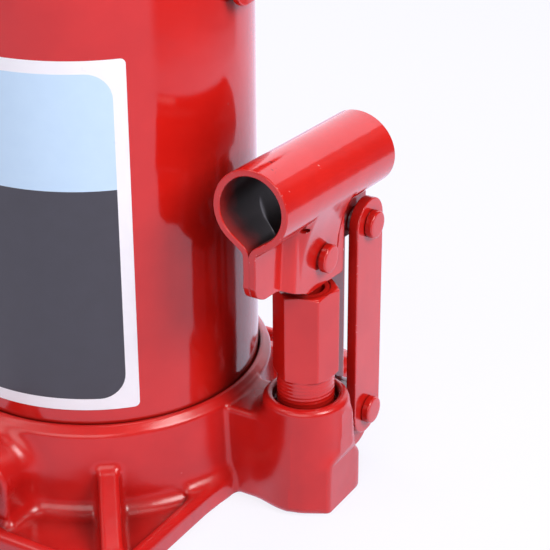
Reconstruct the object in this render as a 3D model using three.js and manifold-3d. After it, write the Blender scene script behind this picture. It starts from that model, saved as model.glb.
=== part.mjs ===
// A 32 tonne hydraulic bottle jack, in millimetres, +Z up.
// The origin is on the axis of the ram, at the underside of the base. +X runs from
// the ram to the pump, and the handle socket's mouth faces -Y.
import * as THREE from "three";
import { mergeVertices } from "three/addons/utils/BufferGeometryUtils.js";
import Module from "manifold-3d";

const wasm = await Module();
wasm.setup();

// Facets
const LARGE_SIDES = 56;
const ROUND_SIDES = 24;
const PUMP_SIDES = 20;
const SMALL_SIDES = 16;
const BORE_SIDES = 8;
const ARC_SEGMENTS = 5;
const WELD = 1e-4;

// Clearances
const RUNNING_FIT = 0.1;
const THREAD_FIT = 0.3;
const LOOSE_FIT = 0.3;
const CUT_OVERRUN = 1;

// Base casting
const BASE_SIDE_MARGIN = 7;
const BASE_END_MARGIN = 9.5;
const BASE_CORNER_RADIUS = 12;
const FLANGE_FLOOR = 6;
const RIM_HEIGHT = 9;
const RIM_WIDTH = 5.5;
const RIM_ROUND = 3;
const PEDESTAL_STEP = 4.9;
const PEDESTAL_DRAFT = 2.9;
const COLLAR_HEIGHT = 41;
const COLLAR_SHOULDER = 3.1;
const COLLAR_LIP = 1.4;
const COLLAR_EDGE = 0.8;
const TANK_SEAT_DEPTH = 6.5;
const HUB_WALL = 8;
const HUB_RISE = 5;
const WELL_DEPTH = 22;

// Corner ribs
const RIB_WIDTH = 8;
const RIB_ROUND = 2;
const RIB_WALL_HEIGHT = 24;
const RIB_END_HEIGHT = 11;
const RIB_CORNER_INSET = 8;

// Release valve boss and valve
const VALVE_HEIGHT = 20;
const VALVE_BOSS_RADIUS = 16;
const VALVE_BOSS_REACH = 13.7;
const VALVE_BOSS_EDGE = 1.5;
const VALVE_BORE_RADIUS = 8;
const VALVE_BORE_DEPTH = 37;
const VALVE_BALL_RADIUS = 3.5;
const VALVE_SEAT_DEPTH = 4;
const VALVE_STEM_RADIUS = 5.5;
const VALVE_NOSE_RADIUS = 2;
const VALVE_NOSE_LENGTH = 4;
const VALVE_GLAND_FLATS = 22;
const VALVE_GLAND_THICKNESS = 6;
const VALVE_GLAND_ENGAGED = 9;
const VALVE_GLAND_CHAMFER = 1.5;
const VALVE_HEAD_RADIUS = 8.5;
const VALVE_HEAD_LENGTH = 10;
const VALVE_HEAD_EDGE = 1;
const VALVE_SLOT_WIDTH = 4.6;
const VALVE_SLOT_DEPTH = 7;
const VALVE_RING_HEIGHT = 3;

// Reservoir tank and its label
const TANK_WALL = 3.5;
const TANK_OIL_GAP = 8;
const TANK_TOP = 240;
const LABEL_RISE = 6;
const LABEL_HEIGHT = 139;
const LABEL_THICKNESS = 0.3;
const LABEL_FILM_GAP = 0.05;
const LABEL_CENTRE_DEGREES = -82.5;
const LABEL_HALF_DEGREES = 41.25;

// Filler plug
const FILLER_DROP = 34;
const FILLER_RADIUS = 5;
const FILLER_FLANGE_RADIUS = 8;
const FILLER_FLANGE_THICKNESS = 3;
const FILLER_BARB_RADIUS = 5.8;
const FILLER_BARB_LENGTH = 3;

// Pressure cylinder
const CYLINDER_WALL = 10;
const CYLINDER_THREAD_WALL = 7;
const CYLINDER_BORE_GAP = 2;
const CYLINDER_INSET = 4;
const CYLINDER_SEAL_THICKNESS = 1.5;

// Top nut
const NUT_FLANGE_OVERHANG = 2;
const NUT_FLANGE_THICKNESS = 6;
const NUT_FLANGE_EDGE = 2;
const NUT_FLAT_INSET = 11.5;
const NUT_HEX_HEIGHT = 15;
const NUT_HEX_CHAMFER = 4;
const NUT_SKIRT_WALL = 11;
const NUT_THREAD_LENGTH = 24;
const NUT_INNER_GAP = 1.5;
const TANK_GASKET_THICKNESS = 1.5;
const GLAND_RING_FOOT = 3;
const GLAND_RING_HEIGHT = 4;
const GLAND_RING_WIDTH = 3.2;
const WIPER_DEPTH = 6;
const WIPER_WIDTH = 4;
const WIPER_LIP = 1.2;

// Ram with its piston
const RAM_RADIUS = 29;
const RAM_SHOWING = 5.5;
const RAM_EDGE = 1.5;
const RAM_FOOT_GAP = 4;
const RAM_STEM_RADIUS = 16;
const RAM_THREAD_LENGTH = 62;
const RAM_RELIEF_GAP = 0.7;
const RAM_RELIEF_TAIL = 7;
const PISTON_RISE = 17;
const PISTON_HEIGHT = 8;
const PACKING_LIP_DEPTH = 3;
const PACKING_LIP_WIDTH = 3;
const PACKING_HEEL = 6;
const PISTON_NUT_THICKNESS = 7;
const PISTON_NUT_WALL = 8;
const PISTON_NUT_CHAMFER = 0.6;

// Extension screw and its saddle
const SCREW_RADIUS = 19;
const SCREW_LIFT = 60;
const SCREW_TAIL = 2;
const SADDLE_OVERHANG = 6;
const SADDLE_HEIGHT = 17;
const SADDLE_EDGE = 1.5;
const SADDLE_GROOVE_WIDTH = 3;
const SADDLE_GROOVE_DEPTH = 2;
const SADDLE_GROOVE_PITCH = 9;
const STOP_RING_THICKNESS = 3;
const STOP_RING_REACH = 1.8;
const STOP_GROOVE_DEPTH = 2;
const STOP_RING_SPLIT = 3;
const STOP_RING_SEAT = 2;

// Pump boss, web and link lug of the casting
const PUMP_OFFSET = 31.7;
const WEB_HEIGHT = 37.5;
const WEB_HALF_WIDTH_FOOT = 15;
const WEB_HALF_WIDTH_TOP = 13;
const BOSS_DRAFT = 0.7;
const BOSS_RISE = 8.5;
const BOSS_LIP = 3.6;
const BOSS_LIP_ROUND = 1.1;
const BOSS_COUNTERBORE_DEPTH = 4;
const BOSS_COUNTERBORE_STEP = 1.7;
const BOSS_DEPTH = 24;
const BLOCK_REACH = 15.8;
const BLOCK_FRONT = 7.6;
const BLOCK_REAR = 15;
const BLOCK_HEIGHT = 20.5;
const BLOCK_SHOULDER = 7;
const BLOCK_REAR_HEIGHT = 16.5;
const BLOCK_EDGE = 1.2;
const LUG_HALF_WIDTH = 5.7;
const LUG_RADIUS = 9.3;
const LUG_FOOT_HEIGHT = 6.3;
const LUG_FOOT_RADIUS = 11.5;
const LUG_ROOT_TOP = 40;

// Oilways and valves in the casting
const OILWAY_RADIUS = 2;
const CHAMBER_DRILL_RADIUS = 1;
const CHAMBER_DRILL_Y = 5.9;
const DELIVERY_HEIGHT = 12;
const DELIVERY_X = 18;
const DELIVERY_Y = 7.5;
const SUCTION_HEIGHT = 5;
const CHECK_POCKET_RADIUS = 4.2;
const CHECK_BALL_RADIUS = 3;
const CHECK_BALL_TRAVEL = 1;
const CHECK_STOP_THICKNESS = 2;
const CHECK_STOP_HOLE = 1.5;
const RELIEF_POCKET_DEPTH = 27;
const RELIEF_SCREW_LENGTH = 11;
const RELIEF_SCREW_INSET = 3.5;
const RELIEF_SLOT_WIDTH = 1.2;
const RELIEF_SLOT_DEPTH = 1.6;
const RELIEF_SPRING_RADIUS = 2.8;
const RELIEF_WIRE_RADIUS = 0.45;
const RELIEF_SPRING_TURNS = 4;
const STRAINER_RADIUS = 5;
const STRAINER_HEIGHT = 9;
const STRAINER_WALL = 0.8;
const STRAINER_STEM = 4;

// Pump cylinder and plunger
const PUMP_WALL = 4;
const PUMP_NECK_RISE = 9.2;
const PUMP_HEX_LENGTH = 36.1;
const PUMP_CHAMFER = 1.6;
const PUMP_TURN_DEGREES = -9;
const PUMP_WASHER_THICKNESS = 1.5;
const PUMP_GLAND_WIDTH = 2;
const PUMP_GLAND_DEPTH = 5;
const PLUNGER_RADIUS = 7;
const PLUNGER_CHAMBER = 6;
const PLUNGER_CUP_HEIGHT = 4.5;
const PLUNGER_STEM_RADIUS = 3.5;
const PLUNGER_FLANGE_RADIUS = 5.2;
const PLUNGER_FLANGE_THICKNESS = 1.5;
const TANG_CLEARANCE = 0.2;
const TANG_LENGTH = 21;
const EYE_RADIUS = 8.5;
const EYE_SLACK = 1.7;
const EYE_RISE = 0.6;

// Pump linkage: pin centres at rest, in the plane through the pump axis
const LINK_PIN_RISE = 1.3;
const LINK_BOSS_GAP = 4;
const LINK_FOOT_HEIGHT = 25;
const LINK_THICKNESS = 4.1;
const LINK_HALF_WIDTH = 10;
const LINK_EDGE = 0.5;
const PIN_RADIUS = 4;
const PIN_HEAD_STEP = 1.4;
const PIN_HEAD_THICKNESS = 3;
const PIN_HEAD_EDGE = 0.5;
const PLUNGER_PIN_STANDOFF = 1.1;
const LINK_PIN_STANDOFF = 0.3;
const CLIP_REACH = 2;
const CLIP_THICKNESS = 1.2;
const CLIP_GROOVE_DEPTH = 0.8;
const CLIP_MOUTH_HALF_WIDTH = 2.4;
const PIN_TAIL = 1.5;
const SPACER_WALL = 1.1;

// Handle socket, one folded sheet, in its own frame along the tube's axis
const SOCKET_TILT_DEGREES = 4.5;
const SHEET = 2.6;
const TUBE_RADIUS = 15;
const TUBE_PIN_DROP = 15;
const SOCKET_FRONT = 39.1;
const NECK_OVERHANG = 9.7;
const PINCH_HALF_GAP = 0.15;
const CLEVIS_HALF_GAP = 4.3;
const KNEE_RADIUS = 3;
const SOCKET_FLARE_DEGREES = 35;
const SOCKET_ARC_STEPS = 18;
const KNEE_STEPS = 2;
const NOSE_LENGTH = 16;
const NOSE_LEAN = 1.35;
const NOSE_SKIRT = 6;
const NOSE_CORNER_RISE = 6.7;
const NOSE_CORNER_LENGTH = 8.2;
const JOGGLE_LENGTH = 3.3;
const CLEVIS_SKIRT = 11.7;
const CLEVIS_SLOPE_LENGTH = 13.2;
const CLEVIS_SLOPE_RISE = 5;
const CLEVIS_CLEARANCE = 2;
const CLEVIS_REAR = 17.4;
const CLEVIS_REAR_LEAN = 1.3;
const NOTCH_INSET = 7.3;
const NOTCH_EDGE = 0.5;
const NECK_SKIRT = 4.5;
const NECK_CORNER_RISE = 8;
const NECK_CORNER_LENGTH = 5;

// Carrying strap
const STRAP_DROP = 46;
const STRAP_WIDTH = 28;
const STRAP_THICKNESS = 2.9;
const STRAP_STANDOFF = 2.6;
const STRAP_BULGE = 27;
const STRAP_START_DEGREES = -2.5;
const STRAP_END_DEGREES = 127.5;
const STRAP_SEAT_DEGREES = 22.5;
const STRAP_SCREW_INSET_DEGREES = 9.5;
const STRAP_STEP_DEGREES = 3.25;
const STRAP_SCREW_RADIUS = 4;
const STRAP_SCREW_FLATS = 13;
const STRAP_SCREW_HEAD = 5.3;
const STRAP_SCREW_CHAMFER = 0.6;
const STRAP_BOSS_RADIUS = 9;

// Values that follow from the sizes above: radii, from the ram outward
const CYLINDER_BORE_RADIUS = RAM_RADIUS + CYLINDER_BORE_GAP;
const CYLINDER_THREAD_RADIUS = CYLINDER_BORE_RADIUS + CYLINDER_THREAD_WALL;
const CYLINDER_RADIUS = CYLINDER_BORE_RADIUS + CYLINDER_WALL;
const HUB_RADIUS = CYLINDER_THREAD_RADIUS + HUB_WALL;
const NUT_SKIRT_RADIUS = CYLINDER_RADIUS + NUT_SKIRT_WALL;
const TANK_BORE_RADIUS = NUT_SKIRT_RADIUS + TANK_OIL_GAP;
const TANK_RADIUS = TANK_BORE_RADIUS + TANK_WALL;
const NUT_FLANGE_RADIUS = TANK_RADIUS + NUT_FLANGE_OVERHANG;
const NUT_FLATS = 2 * (TANK_RADIUS - NUT_FLAT_INSET);
const COLLAR_TOP_RADIUS = TANK_RADIUS + LOOSE_FIT + COLLAR_LIP;
const PEDESTAL_TOP_RADIUS = TANK_RADIUS + PEDESTAL_STEP;
const PEDESTAL_FOOT_RADIUS = PEDESTAL_TOP_RADIUS + PEDESTAL_DRAFT;
const BASE_HALF_WIDTH = TANK_RADIUS + BASE_SIDE_MARGIN;
const VALVE_BOSS_FACE = PEDESTAL_FOOT_RADIUS + VALVE_BOSS_REACH;
const BASE_HALF_LENGTH = VALVE_BOSS_FACE + BASE_END_MARGIN;
const SUCTION_X = (HUB_RADIUS + TANK_BORE_RADIUS) / 2;
const PUMP_X = TANK_RADIUS + PUMP_OFFSET;
const SADDLE_RADIUS = SCREW_RADIUS + SADDLE_OVERHANG;
const RAM_THREAD_RADIUS = SCREW_RADIUS + THREAD_FIT;
const STOP_GROOVE_RADIUS = SCREW_RADIUS - STOP_GROOVE_DEPTH;
const STOP_RING_RADIUS = SCREW_RADIUS + STOP_RING_REACH;
const RAM_RELIEF_RADIUS = STOP_RING_RADIUS + RAM_RELIEF_GAP;
const PISTON_NUT_RADIUS = RAM_STEM_RADIUS + PISTON_NUT_WALL;
const PUMP_THREAD_RADIUS = PLUNGER_RADIUS + PUMP_WALL;
const PUMP_FLATS = 2 * PUMP_THREAD_RADIUS;
const BOSS_RADIUS = PUMP_THREAD_RADIUS + BOSS_COUNTERBORE_STEP + BOSS_LIP;
const BOSS_FOOT_RADIUS = BOSS_RADIUS + BOSS_DRAFT;
const LINK_Y = BOSS_FOOT_RADIUS + LINK_BOSS_GAP + LINK_HALF_WIDTH;
const PIN_HEAD_RADIUS = PIN_RADIUS + PIN_HEAD_STEP;
const SPACER_RADIUS = PIN_RADIUS + SPACER_WALL;
const CLIP_RADIUS = PIN_RADIUS + CLIP_REACH;

// Heights, from the ground up
const PEDESTAL_EDGE_HEIGHT = COLLAR_HEIGHT - COLLAR_SHOULDER;
const TANK_SEAT_HEIGHT = COLLAR_HEIGHT - TANK_SEAT_DEPTH;
const TANK_FOOT = TANK_SEAT_HEIGHT + TANK_GASKET_THICKNESS;
const HUB_HEIGHT = COLLAR_HEIGHT + HUB_RISE;
const WELL_FLOOR = HUB_HEIGHT - WELL_DEPTH;
const LABEL_FOOT = COLLAR_HEIGHT + LABEL_RISE;
const FILLER_HEIGHT = TANK_TOP - FILLER_DROP;
const STRAP_FOOT = TANK_TOP - STRAP_DROP;
const CYLINDER_FOOT = WELL_FLOOR + CYLINDER_SEAL_THICKNESS;
const CYLINDER_TOP = TANK_TOP - CYLINDER_INSET;
const NUT_FLANGE_FOOT = TANK_TOP + TANK_GASKET_THICKNESS;
const NUT_HEX_FOOT = NUT_FLANGE_FOOT + NUT_FLANGE_THICKNESS;
const NUT_TOP = NUT_HEX_FOOT + NUT_HEX_HEIGHT;
const RAM_TOP = NUT_TOP + RAM_SHOWING;
const RAM_FOOT = WELL_FLOOR + RAM_FOOT_GAP;
const PISTON_FACE = RAM_FOOT + PISTON_RISE;
const SADDLE_TOP = RAM_TOP + SADDLE_HEIGHT;
const RING_TOP = RAM_TOP - RAM_THREAD_LENGTH - SCREW_LIFT - STOP_RING_SEAT;
const RING_FOOT = RING_TOP - STOP_RING_THICKNESS;
const RAM_RELIEF_FLOOR = RING_FOOT - SCREW_TAIL - RAM_RELIEF_TAIL;
const BOSS_HEIGHT = WEB_HEIGHT + BOSS_RISE;
const BOSS_FLOOR = BOSS_HEIGHT - BOSS_DEPTH;
const PUMP_HEX_FOOT = BOSS_HEIGHT + PUMP_NECK_RISE;
const PUMP_TOP = PUMP_HEX_FOOT + PUMP_HEX_LENGTH;
const PLUNGER_FOOT = BOSS_FLOOR + PLUNGER_CHAMBER;
const TUBE_RISE = TUBE_RADIUS + TUBE_PIN_DROP;
const NOSE_DROP = TUBE_RISE + NOSE_SKIRT;
const NOSE_FRONT_DROP = NOSE_DROP - NOSE_CORNER_RISE;
const CLEVIS_DROP = TUBE_RISE + CLEVIS_SKIRT;
const CLEVIS_FRONT_DROP = CLEVIS_DROP - CLEVIS_SLOPE_RISE;
const NOTCH_DROP = TUBE_RISE - NOTCH_INSET;
const NECK_DROP = TUBE_RISE + NECK_SKIRT;
const NECK_REAR_DROP = NECK_DROP - NECK_CORNER_RISE;
const SOCKET_HEIGHT = PUMP_TOP + CLEVIS_CLEARANCE + CLEVIS_DROP;
const PLUNGER_PIN_HEIGHT = SOCKET_HEIGHT - TUBE_RISE;
const LINK_TOP_HEIGHT = PLUNGER_PIN_HEIGHT + LINK_PIN_RISE;
const BALL_RISE = Math.sqrt(CHECK_BALL_RADIUS ** 2 - OILWAY_RADIUS ** 2) + LOOSE_FIT;
const CHECK_POCKET_DEPTH = BALL_RISE + CHECK_BALL_RADIUS + CHECK_BALL_TRAVEL + CHECK_STOP_THICKNESS;
const INLET_SEAT = BOSS_FLOOR - CHECK_POCKET_DEPTH;
const OUTLET_SEAT = WELL_FLOOR - CHECK_POCKET_DEPTH;

// Faces across the pump axis, and the socket's own frame
const TANG_HALF_WIDTH = CLEVIS_HALF_GAP - TANG_CLEARANCE;
const LINK_INNER_FACE = LUG_HALF_WIDTH + LOOSE_FIT;
const LINK_OUTER_FACE = LINK_INNER_FACE + LINK_THICKNESS;
const CHEEK_OUTER_FACE = CLEVIS_HALF_GAP + SHEET;
const PINCH_OUTER_FACE = PINCH_HALF_GAP + SHEET;
const SOCKET_REAR = LINK_Y + NECK_OVERHANG;
const SOCKET_TILT = THREE.MathUtils.degToRad(SOCKET_TILT_DEGREES);
const STRAP_SCREW_DEGREES = [
  STRAP_START_DEGREES + STRAP_SCREW_INSET_DEGREES,
  STRAP_END_DEGREES - STRAP_SCREW_INSET_DEGREES,
];

// Paint and metal finishes
const RED_ENAMEL = new THREE.MeshStandardMaterial({ color: "#c8201c", roughness: 0.25, metalness: 0 });
const GROUND_STEEL = new THREE.MeshStandardMaterial({ color: "#b9bcc0", roughness: 0.25, metalness: 1 });
const TURNED_STEEL = new THREE.MeshStandardMaterial({ color: "#8f9398", roughness: 0.4, metalness: 1 });
const COPPER = new THREE.MeshStandardMaterial({ color: "#b87646", roughness: 0.4, metalness: 1 });
const RUBBER = new THREE.MeshStandardMaterial({ color: "#1c1c1e", roughness: 0.8, metalness: 0 });
const PAPER = new THREE.MeshStandardMaterial({ color: "#d9e6f4", roughness: 0.5, metalness: 0 });

// A closed three.js geometry as a solid that can be joined and cut.
function solid(geometry) {
  const bare = geometry.index ? geometry.toNonIndexed() : geometry.clone();
  bare.deleteAttribute("normal");
  bare.deleteAttribute("uv");
  const welded = mergeVertices(bare, WELD);
  return new wasm.Manifold(
    new wasm.Mesh({
      numProp: 3,
      vertProperties: welded.attributes.position.array,
      triVerts: new Uint32Array(welded.index.array),
    }),
  );
}

// A solid back as a three.js geometry with flat facets.
function geometryOf(body) {
  const { numProp, vertProperties, triVerts } = body.getMesh();
  const positions = new Float32Array((vertProperties.length / numProp) * 3);
  for (let i = 0; i < positions.length / 3; i++) {
    positions.set(vertProperties.subarray(i * numProp, i * numProp + 3), i * 3);
  }
  const geometry = new THREE.BufferGeometry();
  geometry.setAttribute("position", new THREE.BufferAttribute(positions, 3));
  geometry.setIndex(new THREE.BufferAttribute(triVerts, 1));
  geometry.computeVertexNormals();
  return geometry;
}

function piece(name, body, material) {
  const mesh = new THREE.Mesh(geometryOf(body), material);
  mesh.name = name;
  return mesh;
}

function join(...bodies) {
  return bodies.reduce((whole, body) => whole.add(body));
}

function cut(body, ...tools) {
  return tools.reduce((rest, tool) => rest.subtract(tool), body);
}

// A body turned about Z from an outline of [radius, height] points that runs
// counter-clockwise, from axis to axis or closed on itself.
function turned(outline, sides = ROUND_SIDES) {
  const points = outline.map(([radius, height]) => new THREE.Vector2(radius, height));
  if (outline[0][0] > 0) points.push(points[0].clone());
  return solid(new THREE.LatheGeometry(points, sides).rotateX(Math.PI / 2));
}

function disc(radius, foot, top, sides = ROUND_SIDES) {
  return turned([[0, foot], [radius, foot], [radius, top], [0, top]], sides);
}

function ring(inner, outer, foot, top, sides = ROUND_SIDES) {
  return turned([[inner, foot], [outer, foot], [outer, top], [inner, top]], sides);
}

function ball(radius, x, y, z) {
  return solid(new THREE.SphereGeometry(radius, BORE_SIDES, BORE_SIDES - 2).translate(x, y, z));
}

function box(x0, x1, y0, y1, z0, z1) {
  const block = new THREE.BoxGeometry(x1 - x0, y1 - y0, z1 - z0);
  return solid(block.translate((x0 + x1) / 2, (y0 + y1) / 2, (z0 + z1) / 2));
}

// A flat outline in X and Y, raised from foot to top.
function prism(shape, foot, top, curveSegments = ARC_SEGMENTS) {
  const options = { depth: top - foot, bevelEnabled: false, curveSegments };
  return solid(new THREE.ExtrudeGeometry(shape, options).translate(0, 0, foot));
}

// An outline drawn in Y (right) and Z (up), spread along X from x0 to x1.
function spreadAlongX(shape, x0, x1, edge = 0, curveSegments = ARC_SEGMENTS) {
  const options = {
    depth: x1 - x0 - 2 * edge,
    bevelEnabled: edge > 0,
    bevelThickness: edge,
    bevelSize: edge,
    bevelOffset: -edge,
    bevelSegments: 1,
    curveSegments,
  };
  const bar = new THREE.ExtrudeGeometry(shape, options);
  return solid(bar.translate(0, 0, x0 + edge).rotateX(Math.PI / 2).rotateZ(Math.PI / 2));
}

function polygon(points) {
  return new THREE.Shape(points.map(([x, y]) => new THREE.Vector2(x, y)));
}

function roundedRectangle(halfX, halfY, radius) {
  const shape = new THREE.Shape();
  shape.moveTo(halfX, radius - halfY);
  shape.lineTo(halfX, halfY - radius);
  shape.absarc(halfX - radius, halfY - radius, radius, 0, Math.PI / 2);
  shape.absarc(radius - halfX, halfY - radius, radius, Math.PI / 2, Math.PI);
  shape.absarc(radius - halfX, radius - halfY, radius, Math.PI, 1.5 * Math.PI);
  shape.absarc(halfX - radius, radius - halfY, radius, 1.5 * Math.PI, 2 * Math.PI);
  return shape;
}

// A straight round hole or rod from one point to another.
function rod(from, to, radius, sides = BORE_SIDES) {
  const start = new THREE.Vector3(...from);
  const run = new THREE.Vector3(...to).sub(start);
  const bar = new THREE.CylinderGeometry(radius, radius, run.length(), sides);
  bar.translate(0, run.length() / 2, 0);
  const up = new THREE.Vector3(0, 1, 0);
  bar.applyQuaternion(new THREE.Quaternion().setFromUnitVectors(up, run.normalize()));
  return solid(bar.translate(start.x, start.y, start.z));
}

// A hexagonal bar with both ends chamfered, as a nut or a pump cylinder has.
function hexBar(flats, foot, top, chamfer, turnDegrees = 0) {
  const corner = flats / Math.sqrt(3);
  const bar = new THREE.CylinderGeometry(corner, corner, top - foot, 6);
  bar.rotateX(Math.PI / 2).rotateZ(THREE.MathUtils.degToRad(turnDegrees)).translate(0, 0, (foot + top) / 2);
  const rim = corner - chamfer;
  const rise = chamfer * Math.tan(Math.PI / 6);
  const envelope = turned(
    [[0, foot], [rim, foot], [corner, foot + rise], [corner, top - rise], [rim, top], [0, top]],
    ROUND_SIDES,
  );
  return solid(bar).intersect(envelope);
}

// Base casting

const RIB_ANGLE = Math.atan2(BASE_HALF_LENGTH, BASE_HALF_WIDTH);

function flange() {
  const outline = roundedRectangle(BASE_HALF_WIDTH, BASE_HALF_LENGTH, BASE_CORNER_RADIUS);
  const plate = new THREE.ExtrudeGeometry(outline, {
    depth: RIM_HEIGHT,
    bevelEnabled: true,
    bevelThickness: RIM_ROUND,
    bevelSize: RIM_ROUND,
    bevelOffset: -RIM_ROUND,
    bevelSegments: 2,
    curveSegments: 3,
  });
  const rounded = solid(plate.translate(0, 0, -RIM_ROUND));
  const reach = BASE_HALF_LENGTH + CUT_OVERRUN;
  const underside = box(-reach, reach, -reach, reach, -RIM_HEIGHT, 0);
  const pocket = roundedRectangle(
    BASE_HALF_WIDTH - RIM_WIDTH,
    BASE_HALF_LENGTH - RIM_WIDTH,
    BASE_CORNER_RADIUS - RIM_WIDTH,
  );
  return cut(rounded, underside, prism(pocket, FLANGE_FLOOR, RIM_HEIGHT + CUT_OVERRUN, 3));
}

// The drafted round wall, its collar, the groove that the tank stands in, the hub
// inside the tank and the well that the pressure cylinder screws into.
function pedestal() {
  const wellRadius = CYLINDER_THREAD_RADIUS + THREAD_FIT;
  const tankSeatRadius = TANK_RADIUS + LOOSE_FIT;
  return turned(
    [
      [0, 0],
      [PEDESTAL_FOOT_RADIUS, 0],
      [PEDESTAL_FOOT_RADIUS, FLANGE_FLOOR],
      [PEDESTAL_TOP_RADIUS, PEDESTAL_EDGE_HEIGHT],
      [PEDESTAL_TOP_RADIUS - COLLAR_EDGE, PEDESTAL_EDGE_HEIGHT + COLLAR_EDGE],
      [COLLAR_TOP_RADIUS, COLLAR_HEIGHT],
      [tankSeatRadius, COLLAR_HEIGHT],
      [tankSeatRadius, TANK_SEAT_HEIGHT],
      [HUB_RADIUS, TANK_SEAT_HEIGHT],
      [HUB_RADIUS, HUB_HEIGHT],
      [wellRadius, HUB_HEIGHT],
      [wellRadius, WELL_FLOOR],
      [0, WELL_FLOOR],
    ],
    LARGE_SIDES,
  );
}

// One rib from the pedestal wall down to the rim at a corner of the flange.
function cornerRib(angle) {
  const reach = Math.hypot(BASE_HALF_WIDTH, BASE_HALF_LENGTH) - RIB_CORNER_INSET;
  const root = PEDESTAL_TOP_RADIUS - RIM_WIDTH;
  const profile = polygon([
    [root, 0],
    [reach, 0],
    [reach, RIM_HEIGHT],
    [reach - RIM_WIDTH, RIB_END_HEIGHT],
    [PEDESTAL_FOOT_RADIUS, RIB_WALL_HEIGHT],
    [root, RIB_WALL_HEIGHT + RIB_ROUND],
  ]);
  const bar = new THREE.ExtrudeGeometry(profile, {
    depth: RIB_WIDTH - 2 * RIB_ROUND,
    bevelEnabled: true,
    bevelThickness: RIB_ROUND,
    bevelSize: RIB_ROUND,
    bevelOffset: -RIB_ROUND,
    bevelSegments: 2,
  });
  bar.translate(0, 0, RIB_ROUND - RIB_WIDTH / 2);
  return solid(bar.rotateX(Math.PI / 2).rotateZ(angle));
}

// The arched boss that the release valve screws into, with its flat front face.
function valveBoss() {
  const arch = new THREE.Shape();
  arch.moveTo(VALVE_BOSS_RADIUS, 0);
  arch.absarc(0, VALVE_HEIGHT, VALVE_BOSS_RADIUS, 0, Math.PI);
  arch.lineTo(-VALVE_BOSS_RADIUS, 0);
  const bar = new THREE.ExtrudeGeometry(arch, {
    depth: VALVE_BOSS_FACE - TANK_RADIUS,
    bevelEnabled: true,
    bevelThickness: VALVE_BOSS_EDGE,
    bevelSize: VALVE_BOSS_EDGE,
    bevelOffset: -VALVE_BOSS_EDGE,
    bevelSegments: 2,
    curveSegments: ARC_SEGMENTS,
  });
  bar.rotateX(Math.PI / 2).translate(0, VALVE_BOSS_EDGE - TANK_RADIUS, 0);
  const side = VALVE_BOSS_RADIUS;
  const footing = box(-side, side, VALVE_BOSS_EDGE - VALVE_BOSS_FACE, -TANK_RADIUS, 0, RIM_HEIGHT);
  return solid(bar).add(footing);
}

// The flat-topped web that carries the oilways from the pedestal to the pump boss.
function web() {
  const profile = polygon([
    [-WEB_HALF_WIDTH_FOOT, 0],
    [WEB_HALF_WIDTH_FOOT, 0],
    [WEB_HALF_WIDTH_TOP, WEB_HEIGHT],
    [-WEB_HALF_WIDTH_TOP, WEB_HEIGHT],
  ]);
  return spreadAlongX(profile, HUB_RADIUS, PUMP_X);
}

function bossPost() {
  const lip = BOSS_RADIUS - BOSS_LIP;
  const half = BOSS_LIP_ROUND / 2;
  return turned([
    [0, 0],
    [BOSS_FOOT_RADIUS, 0],
    [BOSS_RADIUS, WEB_HEIGHT],
    [BOSS_RADIUS, BOSS_HEIGHT - 2 * BOSS_LIP_ROUND],
    [BOSS_RADIUS - half, BOSS_HEIGHT - half],
    [BOSS_RADIUS - half - BOSS_LIP_ROUND, BOSS_HEIGHT],
    [lip + half, BOSS_HEIGHT],
    [lip, BOSS_HEIGHT - half],
    [lip, BOSS_HEIGHT - BOSS_COUNTERBORE_DEPTH],
    [0, BOSS_HEIGHT - BOSS_COUNTERBORE_DEPTH],
  ]);
}

// The block with a flat outer face that stands against the post.
function bossBlock() {
  const profile = polygon([
    [-BLOCK_FRONT, 0],
    [BLOCK_REAR, 0],
    [BLOCK_REAR, BLOCK_REAR_HEIGHT],
    [BLOCK_SHOULDER, BLOCK_HEIGHT],
    [-BLOCK_FRONT, BLOCK_HEIGHT],
  ]);
  const block = spreadAlongX(profile, 0, BLOCK_REACH, BLOCK_EDGE);
  const front = BLOCK_EDGE - BLOCK_FRONT;
  return block.add(box(0, BLOCK_REACH, front, BLOCK_REAR - BLOCK_EDGE, 0, FLANGE_FLOOR));
}

// The tongue behind the post that the links are pinned to.
function linkLug() {
  const outline = new THREE.Shape();
  outline.moveTo(0, LUG_FOOT_HEIGHT);
  outline.absarc(LINK_Y, LUG_FOOT_HEIGHT + LUG_FOOT_RADIUS, LUG_FOOT_RADIUS, -Math.PI / 2, 0);
  outline.absarc(LINK_Y, LINK_FOOT_HEIGHT, LUG_RADIUS, 0, Math.PI / 2);
  outline.lineTo(0, LUG_ROOT_TOP);
  return spreadAlongX(outline, -LUG_HALF_WIDTH, LUG_HALF_WIDTH);
}

function suctionWay() {
  const deep = SUCTION_HEIGHT;
  const seat = TANK_SEAT_HEIGHT + CUT_OVERRUN;
  const mouth = BOSS_FLOOR + CUT_OVERRUN;
  return [
    rod([SUCTION_X, 0, seat], [SUCTION_X, 0, deep], OILWAY_RADIUS),
    rod([SUCTION_X - OILWAY_RADIUS, 0, deep], [PUMP_X + OILWAY_RADIUS, 0, deep], OILWAY_RADIUS),
    rod([PUMP_X, 0, deep], [PUMP_X, 0, BOSS_FLOOR], OILWAY_RADIUS),
    rod([PUMP_X, 0, INLET_SEAT], [PUMP_X, 0, mouth], CHECK_POCKET_RADIUS, SMALL_SIDES),
  ];
}

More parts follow.
